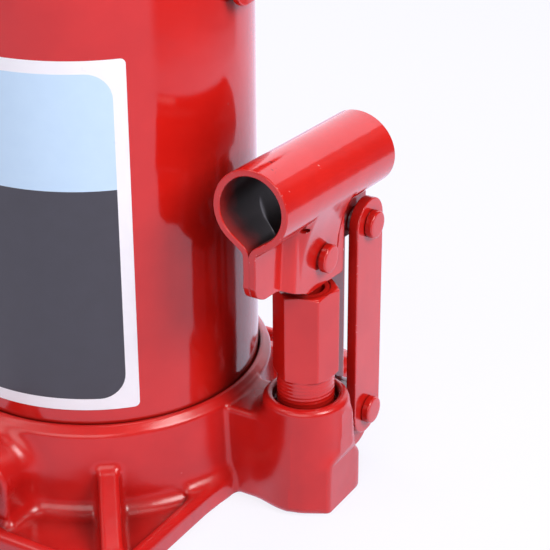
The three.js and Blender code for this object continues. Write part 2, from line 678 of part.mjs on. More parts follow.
function deliveryWay() {
  const chamber = CHAMBER_DRILL_Y;
  const level = DELIVERY_HEIGHT;
  const well = WELL_FLOOR + CUT_OVERRUN;
  const pocket = CHECK_POCKET_RADIUS;
  return [
    rod([PUMP_X, chamber, BOSS_FLOOR + CUT_OVERRUN], [PUMP_X, chamber, level], CHAMBER_DRILL_RADIUS),
    rod([PUMP_X + OILWAY_RADIUS, DELIVERY_Y, level], [DELIVERY_X, DELIVERY_Y, level], OILWAY_RADIUS),
    rod([DELIVERY_X, DELIVERY_Y, level - OILWAY_RADIUS], [DELIVERY_X, DELIVERY_Y, well], OILWAY_RADIUS),
    rod([DELIVERY_X, DELIVERY_Y, OUTLET_SEAT], [DELIVERY_X, DELIVERY_Y, well], pocket, SMALL_SIDES),
  ];
}

function reliefWay() {
  const level = DELIVERY_HEIGHT;
  const wall = PEDESTAL_FOOT_RADIUS + CUT_OVERRUN;
  const seat = PEDESTAL_FOOT_RADIUS - RELIEF_POCKET_DEPTH;
  return [
    rod([DELIVERY_X, DELIVERY_Y, level], [DELIVERY_X, wall, level], OILWAY_RADIUS),
    rod([DELIVERY_X, seat, level], [DELIVERY_X, wall, level], CHECK_POCKET_RADIUS, SMALL_SIDES),
  ];
}

function releaseWay() {
  const mouth = -VALVE_BOSS_FACE - CUT_OVERRUN;
  const bottom = VALVE_BORE_DEPTH - VALVE_BOSS_FACE;
  const level = VALVE_HEIGHT;
  const seat = TANK_SEAT_HEIGHT + CUT_OVERRUN;
  return [
    rod([0, mouth, level], [0, bottom, level], VALVE_BORE_RADIUS, SMALL_SIDES),
    rod([0, bottom, level], [0, bottom + VALVE_SEAT_DEPTH, level], CHECK_POCKET_RADIUS, SMALL_SIDES),
    rod([0, bottom, level], [0, -DELIVERY_X, level], OILWAY_RADIUS),
    rod([0, -DELIVERY_X, level - OILWAY_RADIUS], [0, -DELIVERY_X, WELL_FLOOR + CUT_OVERRUN], OILWAY_RADIUS),
    rod([0, -SUCTION_X, level], [0, -SUCTION_X, seat], OILWAY_RADIUS),
  ];
}

function baseCasting() {
  const corners = [RIB_ANGLE, Math.PI - RIB_ANGLE, Math.PI + RIB_ANGLE, -RIB_ANGLE];
  const tankGroove = disc(TANK_RADIUS + LOOSE_FIT, TANK_SEAT_HEIGHT, HUB_HEIGHT, LARGE_SIDES);
  const arms = cut(join(flange(), valveBoss(), web(), ...corners.map(cornerRib)), tankGroove);
  const pumpBoss = join(bossPost(), bossBlock(), linkLug()).translate([PUMP_X, 0, 0]);
  const pumpBore = disc(PUMP_THREAD_RADIUS + THREAD_FIT, BOSS_FLOOR, BOSS_HEIGHT).translate([PUMP_X, 0, 0]);
  const lugBore = pinBar(PIN_RADIUS + RUNNING_FIT, LUG_HALF_WIDTH + CUT_OVERRUN, LINK_Y, LINK_FOOT_HEIGHT);
  const ways = [...suctionWay(), ...deliveryWay(), ...reliefWay(), ...releaseWay()];
  const casting = join(arms, pedestal(), pumpBoss);
  return piece("base_casting", cut(casting, pumpBore, lugBore, ...ways), RED_ENAMEL);
}

// A round bar across the pump axis, as long to each side.
function pinBar(radius, reach, y, z) {
  return rod([PUMP_X - reach, y, z], [PUMP_X + reach, y, z], radius, SMALL_SIDES);
}

// Reservoir tank

function reservoirTank() {
  const tube = ring(TANK_BORE_RADIUS, TANK_RADIUS, TANK_FOOT, TANK_TOP, LARGE_SIDES);
  const inside = CUT_OVERRUN - TANK_BORE_RADIUS;
  const outside = -TANK_RADIUS - CUT_OVERRUN;
  const filler = rod([outside, 0, FILLER_HEIGHT], [inside, 0, FILLER_HEIGHT], FILLER_RADIUS, SMALL_SIDES);
  const hole = STRAP_SCREW_RADIUS + THREAD_FIT;
  const screwHoles = STRAP_SCREW_DEGREES.map((degrees) => strapScrewBar(degrees, hole));
  return piece("reservoir_tank", cut(tube, filler, ...screwHoles), RED_ENAMEL);
}

function tankGaskets() {
  const foot = ring(TANK_BORE_RADIUS, TANK_RADIUS, TANK_SEAT_HEIGHT, TANK_FOOT);
  const top = ring(TANK_BORE_RADIUS, TANK_RADIUS, TANK_TOP, NUT_FLANGE_FOOT);
  return [piece("tank_foot_gasket", foot, RUBBER), piece("tank_top_gasket", top, RUBBER)];
}

function polar(radius, degrees) {
  const angle = THREE.MathUtils.degToRad(degrees);
  return [radius * Math.cos(angle), radius * Math.sin(angle)];
}

// A film that follows the tank's facets.
function label() {
  const inner = TANK_RADIUS + LABEL_FILM_GAP;
  const top = LABEL_FOOT + LABEL_HEIGHT;
  const film = ring(inner, inner + LABEL_THICKNESS, LABEL_FOOT, top, LARGE_SIDES);
  const reach = 2 * TANK_RADIUS;
  const start = polar(reach, LABEL_CENTRE_DEGREES - LABEL_HALF_DEGREES);
  const end = polar(reach, LABEL_CENTRE_DEGREES + LABEL_HALF_DEGREES);
  return piece("label", film.intersect(prism(polygon([[0, 0], start, end]), LABEL_FOOT, top)), PAPER);
}

function fillerPlug() {
  const shank = FILLER_RADIUS - LOOSE_FIT;
  const inside = -TANK_WALL - LOOSE_FIT;
  const plug = turned(
    [
      [0, inside - FILLER_BARB_LENGTH],
      [shank, inside - FILLER_BARB_LENGTH],
      [FILLER_BARB_RADIUS, inside - LOOSE_FIT],
      [shank, inside - LOOSE_FIT],
      [shank, LOOSE_FIT],
      [FILLER_FLANGE_RADIUS, LOOSE_FIT],
      [FILLER_FLANGE_RADIUS, FILLER_FLANGE_THICKNESS],
      [shank, FILLER_FLANGE_THICKNESS + LOOSE_FIT],
      [0, FILLER_FLANGE_THICKNESS + LOOSE_FIT],
    ],
    SMALL_SIDES,
  );
  const mesh = piece("filler_plug", plug, RUBBER);
  mesh.position.set(-TANK_RADIUS, 0, FILLER_HEIGHT);
  mesh.rotation.y = -Math.PI / 2;
  return mesh;
}

// Pressure cylinder and top nut

function pressureCylinder() {
  const shoulder = HUB_HEIGHT + LOOSE_FIT;
  const body = turned([
    [CYLINDER_BORE_RADIUS, CYLINDER_FOOT],
    [CYLINDER_THREAD_RADIUS, CYLINDER_FOOT],
    [CYLINDER_THREAD_RADIUS, shoulder],
    [CYLINDER_RADIUS, shoulder],
    [CYLINDER_RADIUS, CYLINDER_TOP],
    [CYLINDER_BORE_RADIUS, CYLINDER_TOP],
  ]);
  const seal = ring(CYLINDER_BORE_RADIUS, CYLINDER_THREAD_RADIUS, WELL_FLOOR, CYLINDER_FOOT);
  return [piece("pressure_cylinder", body, TURNED_STEEL), piece("cylinder_foot_seal", seal, COPPER)];
}

function topNut() {
  const bore = RAM_RADIUS + RUNNING_FIT;
  const threadBore = CYLINDER_RADIUS + THREAD_FIT;
  const inner = CYLINDER_TOP + NUT_INNER_GAP;
  const grooveFoot = inner + GLAND_RING_FOOT;
  const grooveTop = grooveFoot + GLAND_RING_HEIGHT;
  const grooveRadius = RAM_RADIUS + GLAND_RING_WIDTH;
  const skirtFoot = CYLINDER_TOP - NUT_THREAD_LENGTH;
  const flange = turned([
    [bore, inner],
    [threadBore, inner],
    [threadBore, skirtFoot],
    [NUT_SKIRT_RADIUS, skirtFoot],
    [NUT_SKIRT_RADIUS, NUT_FLANGE_FOOT],
    [NUT_FLANGE_RADIUS, NUT_FLANGE_FOOT],
    [NUT_FLANGE_RADIUS, NUT_HEX_FOOT - NUT_FLANGE_EDGE],
    [NUT_FLANGE_RADIUS - NUT_FLANGE_EDGE, NUT_HEX_FOOT],
    [bore, NUT_HEX_FOOT],
    [bore, grooveTop],
    [grooveRadius, grooveTop],
    [grooveRadius, grooveFoot],
    [bore, grooveFoot],
  ]);
  const hex = hexBar(NUT_FLATS, NUT_HEX_FOOT - NUT_FLANGE_EDGE, NUT_TOP, NUT_HEX_CHAMFER);
  const opening = disc(bore, NUT_HEX_FOOT - 2 * NUT_FLANGE_EDGE, NUT_TOP + CUT_OVERRUN);
  const wiperSeat = disc(RAM_RADIUS + WIPER_WIDTH, NUT_TOP - WIPER_DEPTH, NUT_TOP + CUT_OVERRUN);
  return piece("top_nut", cut(flange.add(hex), opening, wiperSeat), RED_ENAMEL);
}

function ramSeals() {
  const bore = RAM_RADIUS + RUNNING_FIT;
  const grooveFoot = CYLINDER_TOP + NUT_INNER_GAP + GLAND_RING_FOOT;
  const gland = ring(bore, RAM_RADIUS + GLAND_RING_WIDTH, grooveFoot, grooveFoot + GLAND_RING_HEIGHT);
  const wiper = turned([
    [bore, NUT_TOP - WIPER_DEPTH],
    [RAM_RADIUS + WIPER_WIDTH, NUT_TOP - WIPER_DEPTH],
    [RAM_RADIUS + WIPER_WIDTH, NUT_TOP],
    [bore + WIPER_LIP, NUT_TOP],
    [bore, NUT_TOP + WIPER_LIP],
  ]);
  return [piece("gland_ring", gland, RUBBER), piece("ram_wiper", wiper, RUBBER)];
}

// Ram with its packing

function ram() {
  const piston = CYLINDER_BORE_RADIUS - RUNNING_FIT;
  const shoulder = RAM_TOP - RAM_THREAD_LENGTH;
  const body = turned([
    [0, RAM_FOOT],
    [RAM_STEM_RADIUS, RAM_FOOT],
    [RAM_STEM_RADIUS, PISTON_FACE],
    [piston, PISTON_FACE],
    [piston, PISTON_FACE + PISTON_HEIGHT],
    [RAM_RADIUS, PISTON_FACE + PISTON_HEIGHT],
    [RAM_RADIUS, RAM_TOP - RAM_EDGE],
    [RAM_RADIUS - RAM_EDGE, RAM_TOP],
    [RAM_THREAD_RADIUS, RAM_TOP],
    [RAM_THREAD_RADIUS, shoulder],
    [RAM_RELIEF_RADIUS, shoulder],
    [RAM_RELIEF_RADIUS, RAM_RELIEF_FLOOR],
    [0, RAM_RELIEF_FLOOR],
  ]);
  return piece("ram", body, GROUND_STEEL);
}

// The cup seal under the piston opens downward, toward the oil, and a nut holds it.
function ramPacking() {
  const stem = RAM_STEM_RADIUS + THREAD_FIT;
  const outer = CYLINDER_BORE_RADIUS - RUNNING_FIT;
  const nutTop = RAM_FOOT + PISTON_NUT_THICKNESS;
  const heel = PISTON_FACE - PACKING_HEEL;
  const packing = turned([
    [stem, nutTop],
    [PISTON_NUT_RADIUS, nutTop],
    [outer - PACKING_LIP_WIDTH, heel],
    [outer - PACKING_LIP_WIDTH / 2, heel - PACKING_LIP_DEPTH],
    [outer, heel - PACKING_LIP_DEPTH],
    [outer, PISTON_FACE],
    [stem, PISTON_FACE],
  ]);
  const nut = hexBar(PISTON_NUT_RADIUS * Math.sqrt(3), RAM_FOOT, nutTop, PISTON_NUT_CHAMFER);
  const bore = disc(stem, RAM_FOOT - CUT_OVERRUN, nutTop + CUT_OVERRUN);
  return [piece("ram_packing", packing, RUBBER), piece("piston_nut", cut(nut, bore), TURNED_STEEL)];
}

// Extension screw

function extensionScrew() {
  const neck = RAM_TOP + LOOSE_FIT;
  const tail = RING_FOOT - SCREW_TAIL;
  const body = turned([
    [0, tail],
    [SCREW_RADIUS, tail],
    [SCREW_RADIUS, RING_FOOT],
    [STOP_GROOVE_RADIUS, RING_FOOT],
    [STOP_GROOVE_RADIUS, RING_TOP],
    [SCREW_RADIUS, RING_TOP],
    [SCREW_RADIUS, neck],
    [SADDLE_RADIUS - SADDLE_EDGE, neck],
    [SADDLE_RADIUS, neck + SADDLE_EDGE],
    [SADDLE_RADIUS, SADDLE_TOP - SADDLE_EDGE],
    [SADDLE_RADIUS - SADDLE_EDGE, SADDLE_TOP],
    [0, SADDLE_TOP],
  ]);
  const half = SADDLE_GROOVE_WIDTH / 2;
  const reach = SADDLE_RADIUS + CUT_OVERRUN;
  const floor = SADDLE_TOP - SADDLE_GROOVE_DEPTH;
  const top = SADDLE_TOP + CUT_OVERRUN;
  const pairs = Math.floor(SADDLE_RADIUS / SADDLE_GROOVE_PITCH);
  const grooves = [];
  for (let i = 0.5; i < pairs; i++) {
    for (const middle of [-i * SADDLE_GROOVE_PITCH, i * SADDLE_GROOVE_PITCH]) {
      grooves.push(box(middle - half, middle + half, -reach, reach, floor, top));
      grooves.push(box(-reach, reach, middle - half, middle + half, floor, top));
    }
  }
  return piece("extension_screw", cut(body, ...grooves), TURNED_STEEL);
}

// The split ring that stops the screw from leaving the ram.
function screwStopRing() {
  const fit = STOP_GROOVE_RADIUS + THREAD_FIT;
  const foot = RING_FOOT + RUNNING_FIT;
  const top = RING_TOP - RUNNING_FIT;
  const half = STOP_RING_SPLIT / 2;
  const reach = STOP_RING_RADIUS + CUT_OVERRUN;
  const split = box(0, reach, -half, half, foot - CUT_OVERRUN, top + CUT_OVERRUN);
  return piece("screw_stop_ring", cut(ring(fit, STOP_RING_RADIUS, foot, top), split), TURNED_STEEL);
}

// Valves in the casting

function checkValve(prefix, x, y, seat, mouth) {
  const sphere = ball(CHECK_BALL_RADIUS, x, y, seat + BALL_RISE);
  const outer = CHECK_POCKET_RADIUS - RUNNING_FIT;
  const stop = ring(CHECK_STOP_HOLE, outer, mouth - CHECK_STOP_THICKNESS, mouth, SMALL_SIDES);
  return [
    piece(`${prefix}_ball`, sphere, GROUND_STEEL),
    piece(`${prefix}_ball_stop`, stop.translate([x, y, 0]), TURNED_STEEL),
  ];
}

function reliefValve() {
  const seat = PEDESTAL_FOOT_RADIUS - RELIEF_POCKET_DEPTH;
  const mouth = PEDESTAL_FOOT_RADIUS - RELIEF_SCREW_INSET;
  const screwFoot = mouth - RELIEF_SCREW_LENGTH;
  const level = DELIVERY_HEIGHT;
  const sphere = ball(CHECK_BALL_RADIUS, DELIVERY_X, seat + BALL_RISE, level);
  const outer = CHECK_POCKET_RADIUS - RUNNING_FIT;
  const plug = rod([DELIVERY_X, screwFoot, level], [DELIVERY_X, mouth, level], outer, SMALL_SIDES);
  const half = RELIEF_SLOT_WIDTH / 2;
  const slot = box(
    DELIVERY_X - CHECK_POCKET_RADIUS,
    DELIVERY_X + CHECK_POCKET_RADIUS,
    mouth - RELIEF_SLOT_DEPTH,
    mouth + CUT_OVERRUN,
    level - half,
    level + half,
  );
  const springFoot = seat + BALL_RISE + CHECK_BALL_RADIUS + LOOSE_FIT;
  const springLength = screwFoot - LOOSE_FIT - springFoot;
  const spring = piece("relief_spring", coil(springLength), TURNED_STEEL);
  spring.position.set(DELIVERY_X, springFoot, level);
  spring.rotation.x = -Math.PI / 2;
  return [
    piece("relief_ball", sphere, GROUND_STEEL),
    spring,
    piece("relief_screw", plug.subtract(slot), TURNED_STEEL),
  ];
}

// A coil spring of round wire that stands on the origin along Z.
function coil(length) {
  class Helix extends THREE.Curve {
    getPoint(t, target = new THREE.Vector3()) {
      const angle = t * RELIEF_SPRING_TURNS * 2 * Math.PI;
      const height = RELIEF_WIRE_RADIUS + t * (length - 2 * RELIEF_WIRE_RADIUS);
      const radius = RELIEF_SPRING_RADIUS;
      return target.set(radius * Math.cos(angle), radius * Math.sin(angle), height);
    }
  }
  const section = new THREE.Shape().absarc(0, 0, RELIEF_WIRE_RADIUS, 0, 2 * Math.PI);
  const coiled = new THREE.ExtrudeGeometry(section, {
    steps: RELIEF_SPRING_TURNS * BORE_SIDES,
    curveSegments: 3,
    bevelEnabled: false,
    extrudePath: new Helix(),
  });
  return solid(coiled);
}

// The release valve: gland nut, packing, stem with its slotted head, and ball.
function releaseValve() {
  const face = VALVE_BOSS_FACE;
  const stemHole = VALVE_STEM_RADIUS + THREAD_FIT;
  const threadRadius = VALVE_BORE_RADIUS - THREAD_FIT;
  const glandEnd = face - VALVE_GLAND_ENGAGED;
  const bottom = face - VALVE_BORE_DEPTH;
  const seatRise = Math.sqrt(VALVE_BALL_RADIUS ** 2 - OILWAY_RADIUS ** 2) + LOOSE_FIT;
  const ballCentre = bottom - VALVE_SEAT_DEPTH + seatRise;
  const nose = ballCentre + VALVE_BALL_RADIUS + LOOSE_FIT;
  const glandFace = face + VALVE_GLAND_THICKNESS;
  const head = glandFace + LOOSE_FIT;
  const end = head + VALVE_HEAD_LENGTH;
  const gland = join(
    hexBar(VALVE_GLAND_FLATS, face, glandFace, VALVE_GLAND_CHAMFER, 30),
    disc(threadRadius, glandEnd, face, SMALL_SIDES),
  );
  const ringFoot = glandEnd - VALVE_RING_HEIGHT;
  const packing = ring(stemHole, threadRadius, ringFoot, glandEnd - LOOSE_FIT, SMALL_SIDES);
  const stem = turned(
    [
      [0, nose],
      [VALVE_NOSE_RADIUS, nose],
      [VALVE_STEM_RADIUS, nose + VALVE_NOSE_LENGTH],
      [VALVE_STEM_RADIUS, head],
      [VALVE_HEAD_RADIUS - VALVE_HEAD_EDGE, head],
      [VALVE_HEAD_RADIUS, head + VALVE_HEAD_EDGE],
      [VALVE_HEAD_RADIUS, end - VALVE_HEAD_EDGE],
      [VALVE_HEAD_RADIUS - VALVE_HEAD_EDGE, end],
      [0, end],
    ],
    SMALL_SIDES,
  );
  const half = VALVE_SLOT_WIDTH / 2;
  const reach = VALVE_HEAD_RADIUS + CUT_OVERRUN;
  const slot = box(-reach, reach, -half, half, end - VALVE_SLOT_DEPTH, end + CUT_OVERRUN);
  const glandBore = disc(stemHole, glandEnd - CUT_OVERRUN, glandFace + CUT_OVERRUN, SMALL_SIDES);
  const bodies = {
    release_gland_nut: [gland.subtract(glandBore), TURNED_STEEL],
    release_packing: [packing, RUBBER],
    release_valve: [stem.subtract(slot), TURNED_STEEL],
  };
  // built standing up, then laid with the head toward -Y
  const assembly = new THREE.Group();
  for (const [name, [body, material]] of Object.entries(bodies)) assembly.add(piece(name, body, material));
  assembly.rotation.x = Math.PI / 2;
  assembly.position.z = VALVE_HEIGHT;
  const sphere = ball(VALVE_BALL_RADIUS, 0, -ballCentre, VALVE_HEIGHT);
  return [assembly, piece("release_ball", sphere, GROUND_STEEL)];
}

// A gauze cup over the suction hole in the floor of the reservoir.
function oilStrainer() {
  const stem = OILWAY_RADIUS - LOOSE_FIT;
  const bore = stem / 2;
  const foot = TANK_SEAT_HEIGHT;
  const body = turned(
    [
      [bore, foot - STRAINER_STEM],
      [stem, foot - STRAINER_STEM],
      [stem, foot],
      [STRAINER_RADIUS, foot],
      [STRAINER_RADIUS, foot + STRAINER_HEIGHT],
      [0, foot + STRAINER_HEIGHT],
      [0, foot + STRAINER_HEIGHT - STRAINER_WALL],
      [STRAINER_RADIUS - STRAINER_WALL, foot + STRAINER_HEIGHT - STRAINER_WALL],
      [STRAINER_RADIUS - STRAINER_WALL, foot + STRAINER_WALL],
      [bore, foot + STRAINER_WALL],
    ],
    BORE_SIDES,
  );
  return piece("oil_strainer", body.translate([SUCTION_X, 0, 0]), COPPER);
}

// Pump

function pumpCylinder() {
  const foot = BOSS_FLOOR + PUMP_WASHER_THICKNESS;
  const bore = PLUNGER_RADIUS + RUNNING_FIT;
  const glandRadius = PLUNGER_RADIUS + PUMP_GLAND_WIDTH;
  const glandFoot = PUMP_TOP - PUMP_GLAND_DEPTH;
  const neck = disc(PUMP_THREAD_RADIUS, foot, PUMP_HEX_FOOT, PUMP_SIDES);
  const hex = hexBar(PUMP_FLATS, PUMP_HEX_FOOT, PUMP_TOP, PUMP_CHAMFER, PUMP_TURN_DEGREES);
  const body = cut(
    neck.add(hex),
    disc(bore, foot - CUT_OVERRUN, PUMP_TOP + CUT_OVERRUN, PUMP_SIDES),
    disc(glandRadius, glandFoot, PUMP_TOP + CUT_OVERRUN, PUMP_SIDES),
  );
  const washer = ring(bore, PUMP_THREAD_RADIUS, BOSS_FLOOR, foot, PUMP_SIDES);
  const wiper = ring(bore, glandRadius - RUNNING_FIT, glandFoot, PUMP_TOP - LOOSE_FIT, PUMP_SIDES);
  return [
    piece("pump_cylinder", body.translate([PUMP_X, 0, 0]), RED_ENAMEL),
    piece("pump_washer", washer.translate([PUMP_X, 0, 0]), COPPER),
    piece("pump_wiper", wiper.translate([PUMP_X, 0, 0]), RUBBER),
  ];
}

// The plunger: a cup seal at its foot, and a tang with an eye that gives the pin
// room to move along the tang's face.
function plunger() {
  const cupFoot = PLUNGER_FOOT + PLUNGER_FLANGE_THICKNESS;
  const cupTop = cupFoot + PLUNGER_CUP_HEIGHT;
  const tangFoot = PLUNGER_PIN_HEIGHT - TANG_LENGTH;
  const bar = turned(
    [
      [0, PLUNGER_FOOT],
      [PLUNGER_FLANGE_RADIUS, PLUNGER_FOOT],
      [PLUNGER_FLANGE_RADIUS, cupFoot],
      [PLUNGER_STEM_RADIUS, cupFoot],
      [PLUNGER_STEM_RADIUS, cupTop],
      [PLUNGER_RADIUS, cupTop],
      [PLUNGER_RADIUS, tangFoot],
      [0, tangFoot],
    ],
    PUMP_SIDES,
  );
  const half = TANG_HALF_WIDTH;
  const upper = disc(PLUNGER_RADIUS, tangFoot, PLUNGER_PIN_HEIGHT, PUMP_SIDES);
  const slab = box(-half, half, -PLUNGER_RADIUS, PLUNGER_RADIUS, tangFoot, PLUNGER_PIN_HEIGHT);
  const flats = upper.intersect(slab);
  const head = new THREE.Shape().absarc(0, PLUNGER_PIN_HEIGHT, EYE_RADIUS, 0, 2 * Math.PI);
  const eyeRadius = PIN_RADIUS + EYE_RISE;
  const shift = EYE_SLACK - EYE_RISE;
  const eye = new THREE.Shape();
  eye.absarc(shift, PLUNGER_PIN_HEIGHT, eyeRadius, -Math.PI / 2, Math.PI / 2);
  eye.absarc(-shift, PLUNGER_PIN_HEIGHT, eyeRadius, Math.PI / 2, 1.5 * Math.PI);
  const tang = flats.add(spreadAlongX(head, -half, half));
  const body = cut(bar.add(tang), spreadAlongX(eye, -half - CUT_OVERRUN, half + CUT_OVERRUN));
  const cupRadius = PLUNGER_STEM_RADIUS + RUNNING_FIT;
  const cup = ring(cupRadius, PLUNGER_RADIUS, cupFoot, cupTop, PUMP_SIDES);
  return [
    piece("pump_plunger", body.translate([PUMP_X, 0, 0]), GROUND_STEEL),
    piece("plunger_cup", cup.translate([PUMP_X, 0, 0]), RUBBER),
  ];
}

// Pump linkage

function link(name, side) {
  const outline = new THREE.Shape();
  outline.absarc(LINK_Y, LINK_FOOT_HEIGHT, LINK_HALF_WIDTH, -Math.PI, 0);
  outline.absarc(LINK_Y, LINK_TOP_HEIGHT, LINK_HALF_WIDTH, 0, Math.PI);
  const faces = side > 0 ? [LINK_INNER_FACE, LINK_OUTER_FACE] : [-LINK_OUTER_FACE, -LINK_INNER_FACE];
  const plate = spreadAlongX(outline, PUMP_X + faces[0], PUMP_X + faces[1], LINK_EDGE);
  const hole = PIN_RADIUS + RUNNING_FIT;
  const reach = LINK_OUTER_FACE + CUT_OVERRUN;
  const top = pinBar(hole, reach, LINK_Y, LINK_TOP_HEIGHT);
  const foot = pinBar(hole, reach, LINK_Y, LINK_FOOT_HEIGHT);
  return piece(name, cut(plate, top, foot), RED_ENAMEL);
}

// A headed pin through faces that lie faceReach to each side, with a clip at its tail.
function headedPin(name, y, z, faceReach, standoff, material) {
  const headFoot = faceReach + standoff;
  const headTop = headFoot + PIN_HEAD_THICKNESS;
  const clipInner = faceReach + LINK_PIN_STANDOFF;
  const clipOuter = clipInner + CLIP_THICKNESS;
  const tail = clipOuter + PIN_TAIL;
  const groove = PIN_RADIUS - CLIP_GROOVE_DEPTH;
  const body = turned(
    [
      [0, -tail],
      [PIN_RADIUS, -tail],
      [PIN_RADIUS, -clipOuter],
      [groove, -clipOuter],
      [groove, -clipInner],
      [PIN_RADIUS, -clipInner],
      [PIN_RADIUS, headFoot],
      [PIN_HEAD_RADIUS, headFoot],
      [PIN_HEAD_RADIUS, headTop - PIN_HEAD_EDGE],
      [PIN_HEAD_RADIUS - PIN_HEAD_EDGE, headTop],
      [0, headTop],
    ],
    SMALL_SIDES,
  );
  const mouth = CLIP_MOUTH_HALF_WIDTH;
  const clip = cut(
    ring(groove + RUNNING_FIT, CLIP_RADIUS, RUNNING_FIT - clipOuter, -clipInner - RUNNING_FIT, SMALL_SIDES),
    box(-mouth, mouth, 0, CLIP_RADIUS + CUT_OVERRUN, -clipOuter, -clipInner),
  );
  const parts = [piece(name, body, material), piece(`${name}_clip`, clip, TURNED_STEEL)];
  for (const part of parts) {
    part.position.set(PUMP_X, y, z);
    part.rotation.y = Math.PI / 2;
  }
  return parts;
}

// The washers that keep the socket's neck in the middle between the links.
function spacers() {
  const inner = PINCH_OUTER_FACE + RUNNING_FIT;
  const outer = LINK_INNER_FACE;
  const hole = pinBar(PIN_RADIUS + RUNNING_FIT, LINK_OUTER_FACE, LINK_Y, LINK_TOP_HEIGHT);
  const sides = { right_spacer: [inner, outer], left_spacer: [-outer, -inner] };
  return Object.entries(sides).map(([name, [x0, x1]]) => {
    const start = [PUMP_X + x0, LINK_Y, LINK_TOP_HEIGHT];
    const washer = rod(start, [PUMP_X + x1, LINK_Y, LINK_TOP_HEIGHT], SPACER_RADIUS, SMALL_SIDES);
    return piece(name, washer.subtract(hole), TURNED_STEEL);
  });
}

// The handle socket: one sheet rolled into a tube, its edges pinched together under
// the mouth and at the neck and spread between them as the clevis that grips the plunger.

// One side of the sheet's outer face across the tube: [x, height, normal x, normal z],
// from the lower edge of the ply up over the knee and round to the top of the tube.
function sheetSide(halfGap, drop) {
  const flare = THREE.MathUtils.degToRad(SOCKET_FLARE_DEGREES);
  const faceX = halfGap + SHEET;
  const bend = Math.PI / 2 - flare;
  const run = (TUBE_RADIUS * Math.sin(flare) - faceX) / Math.cos(flare);
  const corner = -TUBE_RADIUS * Math.cos(flare) - run * Math.sin(flare);
  const kneeFoot = corner - KNEE_RADIUS * Math.tan(bend / 2);
  const side = [
    [faceX, -drop, 1, 0],
    [faceX, (kneeFoot - drop) / 2, 1, 0],
  ];
  for (let i = 0; i <= KNEE_STEPS; i++) {
    const turn = (bend * i) / KNEE_STEPS;
    const normal = [Math.cos(turn), -Math.sin(turn)];
    side.push([faceX + KNEE_RADIUS * (1 - normal[0]), kneeFoot - KNEE_RADIUS * normal[1], ...normal]);
  }
  const half = SOCKET_ARC_STEPS / 2;
  for (let i = 0; i <= half; i++) {
    const angle = flare + ((Math.PI - flare) * i) / half;
    const normal = [Math.sin(angle), -Math.cos(angle)];
    side.push([TUBE_RADIUS * normal[0], TUBE_RADIUS * normal[1], ...normal]);
  }
  return side;
}

function sheetSection({ along, halfGap, drop, lean = 0 }) {
  const right = sheetSide(halfGap, drop);
  const left = right.slice(0, -1).reverse().map(([x, z, nx, nz]) => [-x, z, -nx, nz]);
  const place = (x, z, depth, nx, nz) => {
    const below = Math.max(0, -z - TUBE_RADIUS) / (drop - TUBE_RADIUS);
    return [x - depth * nx, along + lean * Math.min(1, 1.5 * below), z - depth * nz];
  };
  const profile = [...right, ...left];
  return {
    outer: profile.map(([x, z, nx, nz]) => place(x, z, 0, nx, nz)),
    inner: profile.map(([x, z, nx, nz]) => place(x, z, SHEET, nx, nz)),
  };
}

function sheetStations() {
  const pinch = PINCH_HALF_GAP;
  const clevis = CLEVIS_HALF_GAP;
  const cornerRowShares = [0.25, 1];
  const cornerDropShares = [0.6, 1];
  const joggle = NOSE_LENGTH - SOCKET_FRONT;
  const clevisFront = joggle + JOGGLE_LENGTH;
  const neck = CLEVIS_REAR + JOGGLE_LENGTH;
  const front = { along: -SOCKET_FRONT, halfGap: pinch, drop: NOSE_FRONT_DROP, lean: -NOSE_LEAN };
  const corner = cornerRowShares.map((row, i) => ({
    along: row * NOSE_CORNER_LENGTH - SOCKET_FRONT,
    halfGap: pinch,
    drop: THREE.MathUtils.lerp(NOSE_FRONT_DROP, NOSE_DROP, cornerDropShares[i]),
  }));
  const neckRowShares = [0, 0.6, 1];
  const neckDropShares = [0, 0.35, 1];
  const end = neckRowShares.map((row, i) => ({
    along: SOCKET_REAR + (row - 1) * NECK_CORNER_LENGTH,
    halfGap: pinch,
    drop: THREE.MathUtils.lerp(NECK_DROP, NECK_REAR_DROP, neckDropShares[i]),
  }));
  return [
    front,
    ...corner,
    { along: joggle, halfGap: pinch, drop: NOSE_DROP },
    { along: clevisFront, halfGap: clevis, drop: CLEVIS_FRONT_DROP },
    { along: clevisFront + CLEVIS_SLOPE_LENGTH, halfGap: clevis, drop: CLEVIS_DROP },
    { along: CLEVIS_REAR, halfGap: clevis, drop: CLEVIS_DROP, lean: CLEVIS_REAR_LEAN },
    { along: CLEVIS_REAR + NOTCH_EDGE, halfGap: clevis, drop: NOTCH_DROP },
    { along: neck, halfGap: pinch, drop: NOTCH_DROP },
    { along: neck + NOTCH_EDGE, halfGap: pinch, drop: NECK_DROP },
    ...end,
  ];
}

